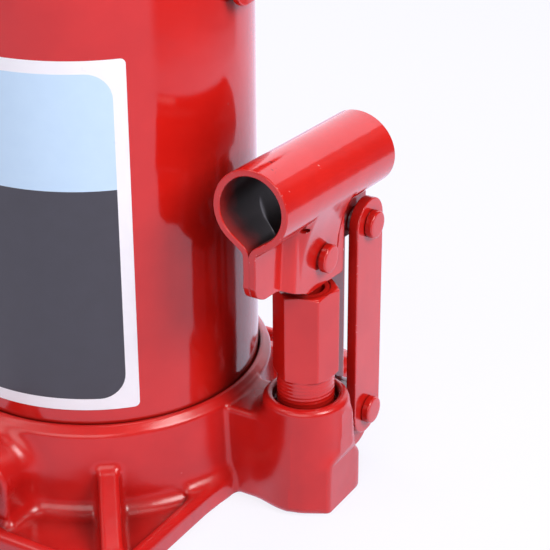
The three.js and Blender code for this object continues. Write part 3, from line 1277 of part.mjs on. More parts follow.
function socketSheet() {
  const sections = sheetStations().map(sheetSection);
  const count = sections[0].outer.length;
  const positions = sections.flatMap(({ outer, inner }) => [...outer, ...inner]).flat();
  const at = (section, skin, i) => (section * 2 + skin) * count + i;
  const triangles = [];
  const quad = (a, b, c, d) => triangles.push(a, c, b, a, d, c);
  for (let s = 0; s + 1 < sections.length; s++) {
    for (let i = 0; i + 1 < count; i++) {
      quad(at(s, 0, i), at(s, 0, i + 1), at(s + 1, 0, i + 1), at(s + 1, 0, i));
      quad(at(s, 1, i), at(s + 1, 1, i), at(s + 1, 1, i + 1), at(s, 1, i + 1));
    }
    quad(at(s, 0, 0), at(s + 1, 0, 0), at(s + 1, 1, 0), at(s, 1, 0));
    quad(at(s, 0, count - 1), at(s, 1, count - 1), at(s + 1, 1, count - 1), at(s + 1, 0, count - 1));
  }
  const last = sections.length - 1;
  for (let i = 0; i + 1 < count; i++) {
    quad(at(0, 0, i), at(0, 1, i), at(0, 1, i + 1), at(0, 0, i + 1));
    quad(at(last, 0, i), at(last, 0, i + 1), at(last, 1, i + 1), at(last, 1, i));
  }
  const geometry = new THREE.BufferGeometry();
  geometry.setAttribute("position", new THREE.Float32BufferAttribute(positions, 3));
  geometry.setIndex(triangles);
  return solid(geometry);
}

// A point of the plane through the pump axis, in the tilted frame of the socket.
function inSocketFrame(y, z) {
  const rise = z - SOCKET_HEIGHT;
  const along = y * Math.cos(SOCKET_TILT) - rise * Math.sin(SOCKET_TILT);
  return [along, y * Math.sin(SOCKET_TILT) + rise * Math.cos(SOCKET_TILT)];
}

function handleSocket() {
  const [plungerAlong, plungerRise] = inSocketFrame(0, PLUNGER_PIN_HEIGHT);
  const [linkAlong, linkRise] = inSocketFrame(LINK_Y, LINK_TOP_HEIGHT);
  const hole = PIN_RADIUS + RUNNING_FIT;
  const bar = (x0, x1, along, rise, radius) => rod([x0, along, rise], [x1, along, rise], radius, SMALL_SIDES);
  const reach = TUBE_RADIUS;
  // the tube is scalloped where the round ends of the links turn under it
  const scallop = LINK_HALF_WIDTH + LOOSE_FIT;
  const inner = LINK_INNER_FACE - LOOSE_FIT;
  const outer = LINK_OUTER_FACE + LOOSE_FIT;
  const body = cut(
    socketSheet(),
    bar(-CHEEK_OUTER_FACE - CUT_OVERRUN, CHEEK_OUTER_FACE + CUT_OVERRUN, plungerAlong, plungerRise, hole),
    bar(-reach / 2, reach / 2, linkAlong, linkRise, hole),
    bar(inner, outer, linkAlong, linkRise, scallop),
    bar(-outer, -inner, linkAlong, linkRise, scallop),
  );
  const mesh = piece("handle_socket", body, RED_ENAMEL);
  mesh.position.set(PUMP_X, 0, SOCKET_HEIGHT);
  mesh.rotation.x = -SOCKET_TILT;
  return mesh;
}

// Carrying strap

function strapScrewBar(degrees, radius) {
  const [x, y] = polar(1, degrees);
  const inside = TANK_BORE_RADIUS - STRAP_STANDOFF;
  const outside = TANK_RADIUS + STRAP_STANDOFF + STRAP_THICKNESS + STRAP_SCREW_HEAD;
  const z = STRAP_FOOT + STRAP_WIDTH / 2;
  return rod([inside * x, inside * y, z], [outside * x, outside * y, z], radius, SMALL_SIDES);
}

// Seated on its bosses at both ends, the strap swells out in the middle for the hand.
function strapRadius(degrees) {
  const seat = TANK_RADIUS + STRAP_STANDOFF;
  const first = STRAP_START_DEGREES + STRAP_SEAT_DEGREES;
  const last = STRAP_END_DEGREES - STRAP_SEAT_DEGREES;
  if (degrees <= first || degrees >= last) return seat;
  return seat + STRAP_BULGE * Math.sin((Math.PI * (degrees - first)) / (last - first)) ** 2;
}

function carryStrap() {
  const steps = Math.round((STRAP_END_DEGREES - STRAP_START_DEGREES) / STRAP_STEP_DEGREES);
  const inner = [];
  for (let i = 0; i <= steps; i++) {
    const degrees = STRAP_START_DEGREES + i * STRAP_STEP_DEGREES;
    inner.push(new THREE.Vector2(...polar(strapRadius(degrees), degrees)));
  }
  const outer = inner.map((point, i) => {
    const before = inner[Math.max(0, i - 1)];
    const after = inner[Math.min(steps, i + 1)];
    const tangent = after.clone().sub(before).normalize();
    return point.clone().add(new THREE.Vector2(tangent.y, -tangent.x).multiplyScalar(STRAP_THICKNESS));
  });
  const band = prism(new THREE.Shape([...outer, ...inner.reverse()]), STRAP_FOOT, STRAP_FOOT + STRAP_WIDTH);
  const holes = STRAP_SCREW_DEGREES.map((degrees) => strapScrewBar(degrees, STRAP_SCREW_RADIUS + LOOSE_FIT));
  return piece("carry_strap", cut(band, ...holes), RED_ENAMEL);
}

function strapFastening(name, degrees) {
  const [x, y] = polar(1, degrees);
  const z = STRAP_FOOT + STRAP_WIDTH / 2;
  const bossInner = TANK_RADIUS + LOOSE_FIT;
  const bossOuter = TANK_RADIUS + STRAP_STANDOFF - LOOSE_FIT;
  const drum = ring(bossInner, bossOuter, z - STRAP_BOSS_RADIUS, z + STRAP_BOSS_RADIUS, LARGE_SIDES);
  const boss = drum.intersect(strapScrewBar(degrees, STRAP_BOSS_RADIUS));
  const hole = strapScrewBar(degrees, STRAP_SCREW_RADIUS + LOOSE_FIT);
  const headFoot = TANK_RADIUS + STRAP_STANDOFF + STRAP_THICKNESS + LOOSE_FIT;
  const tail = TANK_BORE_RADIUS - STRAP_STANDOFF;
  const shank = disc(STRAP_SCREW_RADIUS, tail, headFoot, SMALL_SIDES);
  const head = hexBar(STRAP_SCREW_FLATS, headFoot, headFoot + STRAP_SCREW_HEAD, STRAP_SCREW_CHAMFER);
  const screw = piece(`strap_screw_${name}`, shank.add(head), TURNED_STEEL);
  screw.quaternion.setFromUnitVectors(new THREE.Vector3(0, 0, 1), new THREE.Vector3(x, y, 0));
  screw.position.z = z;
  return [piece(`strap_boss_${name}`, boss.subtract(hole), RED_ENAMEL), screw];
}

const jack = new THREE.Group();
jack.add(
  baseCasting(),
  reservoirTank(),
  ...tankGaskets(),
  label(),
  fillerPlug(),
  ...pressureCylinder(),
  topNut(),
  ...ramSeals(),
  ram(),
  ...ramPacking(),
  extensionScrew(),
  screwStopRing(),
  ...checkValve("inlet", PUMP_X, 0, INLET_SEAT, BOSS_FLOOR),
  ...checkValve("outlet", DELIVERY_X, DELIVERY_Y, OUTLET_SEAT, WELL_FLOOR),
  ...reliefValve(),
  ...releaseValve(),
  oilStrainer(),
  ...pumpCylinder(),
  ...plunger(),
  link("link_right", 1),
  link("link_left", -1),
  ...headedPin("link_top_pin", LINK_Y, LINK_TOP_HEIGHT, LINK_OUTER_FACE, LINK_PIN_STANDOFF, RED_ENAMEL),
  ...headedPin("link_foot_pin", LINK_Y, LINK_FOOT_HEIGHT, LINK_OUTER_FACE, LINK_PIN_STANDOFF, RED_ENAMEL),
  ...spacers(),
  handleSocket(),
  ...headedPin("plunger_pin", 0, PLUNGER_PIN_HEIGHT, CHEEK_OUTER_FACE, PLUNGER_PIN_STANDOFF, RED_ENAMEL),
  carryStrap(),
  ...strapFastening("front", STRAP_SCREW_DEGREES[0]),
  ...strapFastening("rear", STRAP_SCREW_DEGREES[1]),
);

export default jack;
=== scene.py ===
import itertools
import math

import bpy
import numpy as np
from mathutils import Matrix, Quaternion, Vector


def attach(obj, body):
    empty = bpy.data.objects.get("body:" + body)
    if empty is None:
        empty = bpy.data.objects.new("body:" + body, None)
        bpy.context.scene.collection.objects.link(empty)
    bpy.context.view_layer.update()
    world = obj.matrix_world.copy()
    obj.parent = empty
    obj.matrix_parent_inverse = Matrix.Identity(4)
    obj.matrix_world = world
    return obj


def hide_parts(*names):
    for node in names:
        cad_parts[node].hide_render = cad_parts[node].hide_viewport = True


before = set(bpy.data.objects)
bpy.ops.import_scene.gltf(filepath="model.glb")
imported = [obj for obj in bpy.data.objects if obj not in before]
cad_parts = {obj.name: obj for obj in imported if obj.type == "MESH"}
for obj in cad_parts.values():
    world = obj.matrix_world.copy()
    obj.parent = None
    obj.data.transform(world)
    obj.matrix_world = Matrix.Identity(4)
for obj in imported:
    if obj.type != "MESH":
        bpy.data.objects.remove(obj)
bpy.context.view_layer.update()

# A bottle jack seen from above its pump. All sizes are in millimetres in the
# jack's own frame: the ram stands on the origin, +X runs to the pump, +Z is up.
MM = 0.001
LARGE, ROUND = 192, 72  # sides of a big and of a small round
AXIS = 0.01  # the radius that stands for the middle of a turned piece
CREASE = 38  # degrees between faces above which their edge stays crisp

# Base casting
HALF_WIDTH, HALF_LENGTH, CORNER = 70.5, 94.5, 12
FLOOR_TOP, RIM_TOP, RIM_WIDTH, RIM_ROUND = 6, 9, 5.5, 3
WALL_FOOT, WALL_TOP, WALL_EDGE = 71.3, 68.4, 37.9
COLLAR_TOP, COLLAR_RADIUS, COLLAR_EDGE = 41, 65.2, 0.8
SEAT_RADIUS, SEAT_FLOOR = 63.8, 34.5
HUB_RADIUS, HUB_TOP, HUB_ROOT, WELL_RADIUS, WELL_FLOOR = 46, 46, 4, 38.3, 24
RIB_HALF, RIB_REACH, RIB_ROUND = 4, 109.9, 1.8
RIB_CREST = [(62.9, 26), (71.3, 24), (104.4, 11), (109.9, 9)]
RIB_LEVEL = 0.93  # the crest slopes, so it is nearer than its height says
VALVE_Z, VALVE_BOSS, VALVE_FACE, VALVE_BORE = 20, 16, 85, 8
VALVE_BOTTOM, VALVE_ROOT = 48, 40
PUMP_X, WEB_TOP, WEB_FOOT_HALF, WEB_TOP_HALF, WEB_ROOT = 95.2, 37.5, 15, 13, 50
BOSS_FOOT, BOSS_RADIUS, BOSS_TOP = 17, 16.6, 46
COUNTERBORE, COUNTERBORE_FLOOR, PUMP_BORE, PUMP_BORE_FLOOR = 12.3, 42, 11.3, 22
BLOCK_FACE, BLOCK_FRONT, BLOCK_SHOULDER, BLOCK_REAR = 15.8, -7.6, 7, 15
BLOCK_TOP, BLOCK_REAR_TOP, BLOCK_LEVEL = 20.5, 16.5, 0.85
GUSSET_LINE, GUSSET_TOP, GUSSET_LEVEL = [(20, 9.8), (42, 5)], 38, 0.6
FACE_ROOM, END_ROOM, FACE_OPENS, PIN_GAP, OVERRUN = 0.05, 0.02, 0.35, 0.15, 2
LUG_HALF, LUG_ROUND, LUG_Y, LUG_Z = 5.7, 9.3, 31, 25
LUG_FOOT, LUG_FOOT_ROUND, LUG_ROOT_TOP = 6.3, 11.5, 40
RELIEF_X, RELIEF_Z, RELIEF_BORE, RELIEF_DEPTH = 18, 12, 4.2, 44.3
# how softly its forms run into each other
TRAY_BLEND, PEDESTAL_BLEND, RIB_BLEND, VALVE_BLEND = 2, 7, 3.5, 7
POST_BLEND, GUSSET_BLEND, BLOCK_BLEND, PUMP_BLEND = 5, 5, 7, 2.2
LUG_BLEND, HEEL_BLEND, BORE_BLEND, COUNTERBORE_BLEND = 4, 3, 0.8, 1.6
# and how round its edges are
SHOULDER_ROUND, COLLAR_ROUND, VALVE_ROUND, WEB_ROUND, POST_ROUND = 0.7, 0.5, 1.6, 2.2, 2.6
BLOCK_ROUND, LUG_EDGE, FACE_ROUND, PUMP_SOLE, SOLE_ROUND = 1.4, 1.2, 1.2, 3.4, 0.8
MOULD_WAVE = 0.07  # how far the sand mould was out

# Tank, label, strap and filler plug
TANK_RADIUS, TANK_BORE, TANK_FOOT, TANK_TOP, TANK_ROUND = 63.5, 60, 36, 240, 0.5
LABEL_MIDDLE, LABEL_HALF, LABEL_FOOT, LABEL_TOP = -82.5, 41.25, 47, 186
LABEL_BORDER, LABEL_CORNER, LABEL_DIVIDE, FILM_CORNER = 4.8, 10, 136.9, 2
FILM_GAP, FILM_THICK, PRINT_THICK, FILM_COLUMNS = 0.03, 0.22, 0.03, 60
STRAP_FOOT, STRAP_WIDTH, STRAP_THICK, STRAP_STANDOFF = 194, 28, 2.9, 2.6
STRAP_BULGE, STRAP_START, STRAP_END, STRAP_SEAT = 27, -2.5, 127.5, 22.5
STRAP_CORNER, STRAP_EDGE, STRAP_BEVEL, STRAP_STATIONS = 7, 0.9, 0.26, 180
STRAP_SCREWS = (7, 118)
STRAP_BOSS, BOSS_WELD, BOSS_GAP = 9, 1.2, 0.1
SCREW_FLATS, SCREW_HEAD, SCREW_SHANK, SCREW_DISH, WASHER = 13, 5.3, 4, 0.25, 0.3
PLUG_Z, PLUG_RADIUS = 206, 8

# Top nut, ram and saddle
NUT_FOOT, NUT_FLANGE, NUT_HEX_FOOT, NUT_TOP, NUT_FLATS = 241.5, 65.5, 247.5, 262.5, 104
NUT_CHAMFER, NUT_EDGE, NUT_HEX_ROOT, NUT_CROWN, WIPER_DEPTH = 4, 2, 61.5, 50, 5.5
RAM_RADIUS, RAM_TOP, RAM_FOOT, RAM_BORE, RAM_EDGE = 29, 268, 53, 19.3, 1.5
WIPER_RADIUS, WIPER_LIP, RAM_GAP = 33, 1.2, 0.15
SADDLE_RADIUS, SADDLE_FOOT, SADDLE_TOP, SADDLE_ROUND = 25, 268.3, 285, 1.6
SCREW_RADIUS, SCREW_TAIL, SCREW_PITCH, SCREW_DEPTH = 19, 139, 4, 1.6
SCREW_FLANK, SCREW_ROOT, SCREW_RUN_OUT, SCREW_END = 2.6, 0.2, 4, 17
GROOVE_WIDTH, GROOVE_DEPTH, GROOVE_PITCH, GROOVE_BLEND = 3, 2, 9, 0.7

# Release valve
GLAND_BORE, GLAND_NECK, GLAND_DEPTH, GLAND_HIGH = 5.8, 7.6, 8, 6
SPINDLE_ROOT, SPINDLE_RADIUS, SPINDLE_HEAD, SPINDLE_HIGH = 60, 5.5, 8.5, 10
SLOT_DEPTH, SLOT_HALF = 7, 2.3

# Pump, pins and links
NECK_RADIUS, HEX_FOOT, HEX_TOP, PUMP_FLATS, PUMP_TURN = 11, 55.2, 91.3, 22, -9
BARREL_FOOT, THREAD_FOOT, THREAD_PITCH, THREAD_DEPTH = 26, 40, 1.5, 0.07
CUP_RADIUS, CUP_DEPTH, PLUNGER_GAP = 9, 4.5, 0.1
PLUNGER_RADIUS, PLUNGER_FOOT, TANG_FOOT, TANG_HALF, EYE_RADIUS = 7, 50, 84, 4.1, 8.5
EYE_SLOT, EYE_SLACK, SPRAYED_ABOVE = 4.6, 1.1, 6
PIN_Z, LINK_Y, LINK_TOP, LINK_FOOT = 105, 31, 106.3, 25
LINK_INNER, LINK_OUTER, LINK_HALF, LINK_EDGE = 6, 10.1, 10, 0.8
LINK_ROOM = 0.3
PIN_RADIUS, PIN_TAIL, PIN_HOLE, HEAD_RADIUS, HEAD_THICK = 4, 3, 4.1, 5.4, 3
CLIP_THICK, CLIP_MOUTH, CLIP_MIDDLE, CLIP_STANDOFF = 1, 2.4, 5, 0.35
CHEEK_FACE, SPACER_RADIUS, NECK_FACE = 6.9, 5.1, 2.85

# Handle socket, in its own frame along the tube's axis
SOCKET_Z, SOCKET_TILT = 135, 4.5
SHEET, TUBE_RADIUS, FLARE = 2.6, 15, 35
KNEE, CLEVIS_KNEE = 3, 60
PINCH, CLEVIS = -0.05, 4.3
SOCKET_FRONT, CLEVIS_FRONT, CLEVIS_REAR, NECK_FRONT, SOCKET_REAR = -39.1, -19.8, 17.4, 21.2, 40.7
CLEVIS_DROP, WINDOW_DROP, NECK_DROP, WINDOW_STEP = 41.7, 22.7, 32, 0.5
CLEVIS_OPENS, CLEVIS_SHUTS, CLEVIS_SHUT = 2.6, 3.5, 20.9
SHEAR, SHEAR_FROM, SHEAR_LEVEL = 0.13, 20, 2
# where along the tube, and there: how far below the axis the sheet ends, how far that end
# leans to the rear, and how slack the bend above it is
NOSE_LINE = [(SOCKET_FRONT, 29.3), (-37.05, 33.3), (-30.9, 36), (-23.1, 36),
             (CLEVIS_FRONT, 36.7), (-6.6, CLEVIS_DROP), (CLEVIS_REAR, CLEVIS_DROP)]
NECK_LINE = [(NECK_FRONT, NECK_DROP), (35.7, NECK_DROP), (38.7, 29.2), (SOCKET_REAR, 24)]
LEAN_LINE = [(SOCKET_FRONT, 1.2), (-34, 0), (-6.6, 0), (CLEVIS_REAR, 1.3), (17.9, 0)]
SLACK_LINE = [(-19, 0), (-13, 1), (12, 1), (CLEVIS_REAR, 0)]
END_EDGES = [(0, 0.5), (0.12, 0.22), (0.4, 0)]  # how the sheet's skins draw in at its ends
MOUTH_ROWS = 3
TIP_ROUND, TIP_POINTS = 0.5, 4
NOTCH = [(0.05, -3.2), (0.8, -2.9), (1.25, -2), (1.25, 2), (0.8, 2.9), (0.05, 3.2)]
NOTCH_LIE, NOTCH_AT = (0.18, 0.95, 0.1), (104.3, -15.4, 123.4)


# Meshes

CAST_CELL, SADDLE_CELL, PLUNGER_CELL = ((0.8, 0.5, 0.5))
GRID_BLOCK = 4  # cells along the side of a block, which is looked at first
BLOCK_REACH, FAR = 1.25, 9.0
NUDGE, LEAST_SLOPE, SETTLINGS = 0.05, 0.2, 2


def smooth_union(a, b, blend):
    share = np.clip(0.5 + 0.5 * (b - a) / blend, 0, 1)
    return b + (a - b) * share - blend * share * (1 - share)


def smooth_cut(a, tool, blend):
    return -smooth_union(-a, tool, blend)


def rounded_common(a, b, radius):
    """What two shapes share, with the edge between them rounded."""
    u, v = a + radius, b + radius
    outside = np.hypot(np.maximum(u, 0), np.maximum(v, 0))
    return np.minimum(np.maximum(u, v), 0) + outside - radius


def blown_up(grid):
    """A grid of blocks as a grid of cells."""
    return grid.repeat(GRID_BLOCK, 0).repeat(GRID_BLOCK, 1).repeat(GRID_BLOCK, 2)


def sampled(shape, low, high, cell):
    """A distance function's values on a grid, worked out in full only near its zero."""
    counts = [math.ceil((h - l) / cell / GRID_BLOCK) for l, h in zip(low, high)]
    at = np.meshgrid(*[np.arange(n) * GRID_BLOCK for n in counts], indexing="ij")
    middle = [low[i] + (at[i] + GRID_BLOCK / 2) * cell for i in range(3)]
    rough = shape(*[m.ravel() for m in middle]).reshape(middle[0].shape)
    value = np.where(blown_up(rough) < 0, -FAR, FAR)
    near = blown_up(np.abs(rough) < GRID_BLOCK * cell * BLOCK_REACH)
    for axis in range(3):
        near |= np.roll(near, 1, axis)
    value[near] = shape(*(low + np.argwhere(near) * cell).T)
    return value


def crossings_middle(value, cells):
    """The middle, within each cell, of the places where its edges meet the surface."""
    total, count = np.zeros((len(cells), 3)), np.zeros(len(cells))
    for a in itertools.product((0, 1), repeat=3):
        for axis in range(3):
            if a[axis]:
                continue
            b = tuple(1 if i == axis else a[i] for i in range(3))
            va, vb = value[tuple((cells + a).T)], value[tuple((cells + b).T)]
            cuts = (va < 0) != (vb < 0)
            share = np.where(cuts, va / np.where(cuts, va - vb, 1), 0)
            point = np.array(a) + share[:, None] * (np.array(b) - np.array(a))
            total += point * cuts[:, None]
            count += cuts
    return total / count[:, None]


def settled(shape, points, limit):
    """Points moved onto the zero of a distance function, and the normals there."""
    for turn in range(SETTLINGS + 1):
        slope = np.stack([
            shape(*(points + NUDGE * side).T) - shape(*(points - NUDGE * side).T)
            for side in np.eye(3)
        ], 1) / (2 * NUDGE)
        length = np.maximum(np.linalg.norm(slope, axis=1), LEAST_SLOPE)
        normals = slope / length[:, None]
        if turn < SETTLINGS:
            move = np.clip(shape(*points.T) / length, -limit, limit)
            points = points - normals * move[:, None]
    return points, normals


def quads_across(inside, ids):
    """A quad across every edge of the grid that passes through the surface."""
    quads = []
    for axis in range(3):
        b, c = (axis + 1) % 3, (axis + 2) % 3
        change = inside != np.roll(inside, -1, axis)
        change[tuple(slice(-1, None) if i == axis else slice(None) for i in range(3))] = False
        edges = np.argwhere(change)
        edges = edges[(edges[:, b] > 0) & (edges[:, c] > 0)]
        quad = []
        for db, dc in ((-1, -1), (0, -1), (0, 0), (-1, 0)):
            beside = edges.copy()
            beside[:, b] += db
            beside[:, c] += dc
            quad.append(ids[tuple(np.minimum(beside, np.array(ids.shape) - 1).T)])
        quad = np.stack(quad, 1)
        quads.append(np.where(inside[tuple(edges.T)][:, None], quad, quad[:, ::-1]))
    return np.concatenate(quads)


def surface(shape, low, high, cell):
    """The surface where a distance function is zero, as points, quads and normals."""
    low = np.array(low, float)
    value = sampled(shape, low, high, cell)
    inside = value < 0
    count = 0
    for step in itertools.product((0, 1), repeat=3):
        window = tuple(slice(s, inside.shape[i] - 1 + s) for i, s in enumerate(step))
        count = count + inside[window].astype(np.int8)
    active = (count > 0) & (count < 8)
    cells = np.argwhere(active)
    points = low + (cells + crossings_middle(value, cells)) * cell
    points, normals = settled(shape, points, cell)
    ids = np.full(active.shape, -1, np.int64)
    ids[active] = np.arange(len(cells))
    return points, quads_across(inside, ids), normals


def skin(loops, ends=(), closed=False):
    """Quads between loops of as many points each; ends says which end loops are filled,
    and closed joins the last loop to the first."""
    rows, count = len(loops), len(loops[0])
    points = np.concatenate([np.asarray(loop, float) for loop in loops])
    last = rows if closed else rows - 1
    i, j = np.meshgrid(np.arange(last), np.arange(count), indexing="ij")
    up, along = (i + 1) % rows, (j + 1) % count
    faces = [i * count + j, i * count + along, up * count + along, up * count + j]
    faces = [list(map(int, f)) for f in np.stack(faces, -1).reshape(-1, 4)]
    if "first" in ends:
        faces.append(list(range(count))[::-1])
    if "last" in ends:
        faces.append([(rows - 1) * count + k for k in range(count)])
    return points, faces


def softened(outline, steps=4):
    """An outline of (radius, height, rounding) with each corner drawn as an arc."""
    points = []
    for i, corner in enumerate(outline):
        here = np.array(corner[:2], float)
        rounding = corner[2] if len(corner) > 2 else 0
        if not rounding or i in (0, len(outline) - 1):
            points.append(here)
            continue
        before = np.array(outline[i - 1][:2], float) - here
        after = np.array(outline[i + 1][:2], float) - here
        reach = min(rounding, 0.45 * np.linalg.norm(before), 0.45 * np.linalg.norm(after))
        start = here + reach * before / np.linalg.norm(before)
        end = here + reach * after / np.linalg.norm(after)
        for t in np.linspace(0, 1, steps + 1):
            points.append((1 - t) ** 2 * start + 2 * t * (1 - t) * here + t * t * end)
    return points


def rings(rows, sides):
    """Loops round Z from rows of (radius, height), where each may differ round the loop."""
    angle = np.linspace(0, 2 * np.pi, sides, endpoint=False)
    loops = []
    for radius, height in rows:
        r = radius + 0 * angle
        loops.append(np.stack([r * np.cos(angle), r * np.sin(angle), height + 0 * angle], 1))
    return loops


def rod(rows, sides=ROUND):
    """A solid turned about Z."""
    return skin(rings(rows, sides), ("first", "last"))


def ring(rows, sides=ROUND):
    """A ring turned about Z."""
    return skin(rings(rows, sides), closed=True)


def hexagon(flats, rounding, turn, sides):
    """The radius of a hexagon with rounded corners, round the loop."""
    sector = np.pi / 6
    angle = np.linspace(0, 2 * np.pi, sides, endpoint=False) - math.radians(turn)
    from_corner = np.abs((angle + sector) % (2 * sector) - sector)
    from_flat = sector - from_corner
    half = flats / 2
    centre = (half - rounding) / math.cos(sector)
    arc = centre * np.cos(from_corner)
    arc = arc + np.sqrt(np.maximum(rounding**2 - (centre * np.sin(from_corner)) ** 2, 0))
    limit = math.atan((half - rounding) * math.tan(sector) / half)
    return np.where(from_flat > limit, arc, half / np.cos(from_flat))


CONE_ROWS, CONE_REACH, CONE_EASE = 9, 2.2, 0.35


def hex_rows(flats, foot, top, chamfer, rounding, turn, sides):
    """Rows of a hexagonal bar whose ends are chamfered on a cone, with softened edges."""
    shape = hexagon(flats, rounding, turn, sides)
    corner, slope, tall = flats / math.sqrt(3), math.tan(math.pi / 6), top - foot
    ends = np.linspace(0, CONE_REACH * chamfer * slope, CONE_ROWS)
    rows = []
    for height in [*ends, tall / 2, *(tall - ends[::-1])]:
        cone = corner - chamfer + min(height, tall - height) / slope
        rows.append((smooth_union(shape, cone, CONE_EASE), foot + height))
    return rows


def box(low, high):
    """A box from corner to corner, as points and faces."""
    return list(itertools.product(*zip(low, high))), [
        (0, 1, 3, 2), (4, 6, 7, 5), (0, 4, 5, 1), (2, 3, 7, 6), (0, 2, 6, 4), (1, 5, 7, 3)]


def faced(axis, origin):
    """The matrix, in millimetres, of a frame whose Z points along axis from origin."""
    turn = Vector((0, 0, 1)).rotation_difference(Vector(axis))
    return Matrix.Translation(Vector(origin)) @ turn.to_matrix().to_4x4()


def moved(points, place):
    return np.asarray(points, float) @ np.array(place.to_3x3()).T + np.array(place.translation)


def show(name, points, faces, finish, body, slot, replaced=(), place=None, normals=None,
         crease=CREASE):
    """Adds a piece of the jack. place is its frame in millimetres, and faces that meet at
    more than crease degrees keep a crisp edge between them."""
    points = np.asarray(points, float) if place is None else moved(points, place)
    mesh = bpy.data.meshes.new(name)
    mesh.from_pydata((points * MM).tolist(), [], [list(map(int, f)) for f in faces])
    mesh.update()
    mesh.shade_smooth()
    for material in finish if isinstance(finish, list) else [finish]:
        mesh.materials.append(material)
    obj = bpy.data.objects.new(name, mesh)
    bpy.context.scene.collection.objects.link(obj)
    if normals is not None:
        mesh.normals_split_custom_set_from_vertices(normals.tolist())
    else:
        mesh.set_sharp_from_angle(angle=math.radians(crease))
        weighted = obj.modifiers.new("even", "WEIGHTED_NORMAL")
        weighted.keep_sharp = True
    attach(obj, body)
    if replaced:
        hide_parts(*replaced)
    return obj


def cut_away(obj, tools):
    """Takes closed cutters, given as points and faces in millimetres, out of a piece."""
    for points, faces in tools:
        mesh = bpy.data.meshes.new("cutter")
        mesh.from_pydata((np.asarray(points) * MM).tolist(), [], faces)
        cutter = bpy.data.objects.new("cutter", mesh)
        bpy.context.scene.collection.objects.link(cutter)
        modifier = obj.modifiers.new("cut", "BOOLEAN")
        modifier.operation, modifier.solver, modifier.object = "DIFFERENCE", "EXACT", cutter
        graph = bpy.context.evaluated_depsgraph_get()
        others = [m for m in obj.modifiers if m != modifier]
        for other in others:
            other.show_viewport = False
        graph.update()
        cut = bpy.data.meshes.new_from_object(obj.evaluated_get(graph), depsgraph=graph)
        obj.modifiers.remove(modifier)
        for other in others:
            other.show_viewport = True
        obj.data = cut
        bpy.data.objects.remove(cutter)
    obj.data.shade_smooth()
    obj.data.set_sharp_from_angle(angle=math.radians(CREASE))


# Materials

def linear(hexadecimal):
    """An sRGB hex colour as linear RGBA."""
    parts = [int(hexadecimal[i:i + 2], 16) / 255 for i in (1, 3, 5)]
    return [c / 12.92 if c <= 0.04045 else ((c + 0.055) / 1.055) ** 2.4 for c in parts] + [1]


def wire(tree, node, inputs):
    """Links the inputs of a node that are given as sockets and sets the others."""
    for key, value in inputs.items():
        if isinstance(value, bpy.types.NodeSocket):
            tree.links.new(value, node.inputs[key])
        else:
            node.inputs[key].default_value = value
    return node


def add(tree, kind, inputs=None, **settings):
    """Adds a shader node with its settings and links."""
    node = tree.nodes.new("ShaderNode" + kind)
    for key, value in settings.items():
        setattr(node, key, value)
    return wire(tree, node, inputs or {})


def noise(tree, place, size, detail):
    """A noise whose pattern repeats about every size millimetres."""
    inputs = {"Vector": place, "Scale": 1 / (size * MM), "Detail": detail}
    return add(tree, "TexNoise", inputs).outputs["Fac"]


def ramp(tree, value, low=0, high=1, start=0, end=1, **settings):
    """A value between low and high, carried over to between start and end."""
    inputs = {"Value": value, "From Min": low, "From Max": high, "To Min": start, "To Max": end}
    return add(tree, "MapRange", inputs, **settings).outputs["Result"]


def reckon(tree, operation, first, second):
    return add(tree, "Math", {0: first, 1: second}, operation=operation).outputs[0]


def mix(tree, share, first, second):
    """A colour between two others."""
    inputs = {"Factor": share, 6: first, 7: second}
    return add(tree, "Mix", inputs, data_type="RGBA").outputs[2]


def between(tree, share, first, second):
    """A value between two others."""
    inputs = {"Factor": share, 2: first, 3: second}
    return add(tree, "Mix", inputs, data_type="FLOAT").outputs[0]


def bump(tree, height, depth, under=None, strength=1):
    """The normal over a relief of depth millimetres, on top of the one under it."""
    inputs = {"Height": height, "Strength": strength, "Distance": depth * MM}
    if under is not None:
        inputs["Normal"] = under
    return add(tree, "Bump", inputs).outputs["Normal"]


def along(tree, vector, axis):
    return add(tree, "SeparateXYZ", {"Vector": vector}).outputs[axis]


def material(name):
    made = bpy.data.materials.new(name)
    made.use_nodes = True
    tree = made.node_tree
    return made, tree, tree.nodes["Principled BSDF"], add(tree, "TexCoord").outputs["Object"]


# Enamel: the sizes of its patterns, in millimetres, and how far each goes
POOL, POOL_TINT, SAG = 22, (0.35, 0.65), 9
NIB, NIB_SHOWS, NIB_DEPTH, NIB_STRENGTH = 1.1, (0.77, 0.83), 0.06, 0.6
EDGE_REACH, EDGE_SHOWS, THIN_PAINT = 0.7, (0.985, 0.9), 0.35
KNOCK, KNOCK_SHOWS = 1.3, (0.63, 0.67)
# painted shade in crevices: how far the occlusion looks, how it ramps in, and the heights over
# which it fades in on walls by the floor
PAINTED_SHADE_REACH, PAINTED_SHADE_SHOWS, SHADE_LIFTS_BY_FLOOR = 38, (0.78, 0.3), (2 * MM, 40 * MM)
STAIN = 14  # patches of another tone on bare metal
SCRATCH_RAGGED, SCRATCH_SHOWS, SCRATCH_COVERS, SCRATCH_EDGE = 1.2, (0.3, 0.7), 0.8, 1.15


def scratched(tree, place, colour, spot, size, hue):
    """A ragged mark of another colour, of about size millimetres, at a spot."""
    off = add(tree, "VectorMath", {0: place, 1: [c * MM for c in spot]}, operation="SUBTRACT")
    far = add(tree, "VectorMath", {0: off.outputs[0]}, operation="LENGTH").outputs["Value"]
    ragged = noise(tree, place, SCRATCH_RAGGED, 3)
    far = reckon(tree, "ADD", far, ramp(tree, ragged, *SCRATCH_SHOWS, 0, 2 * size * MM))
    inside = ramp(tree, far, size * MM, SCRATCH_EDGE * size * MM, SCRATCH_COVERS, 0)
    return mix(tree, inside, colour, linear(hue))


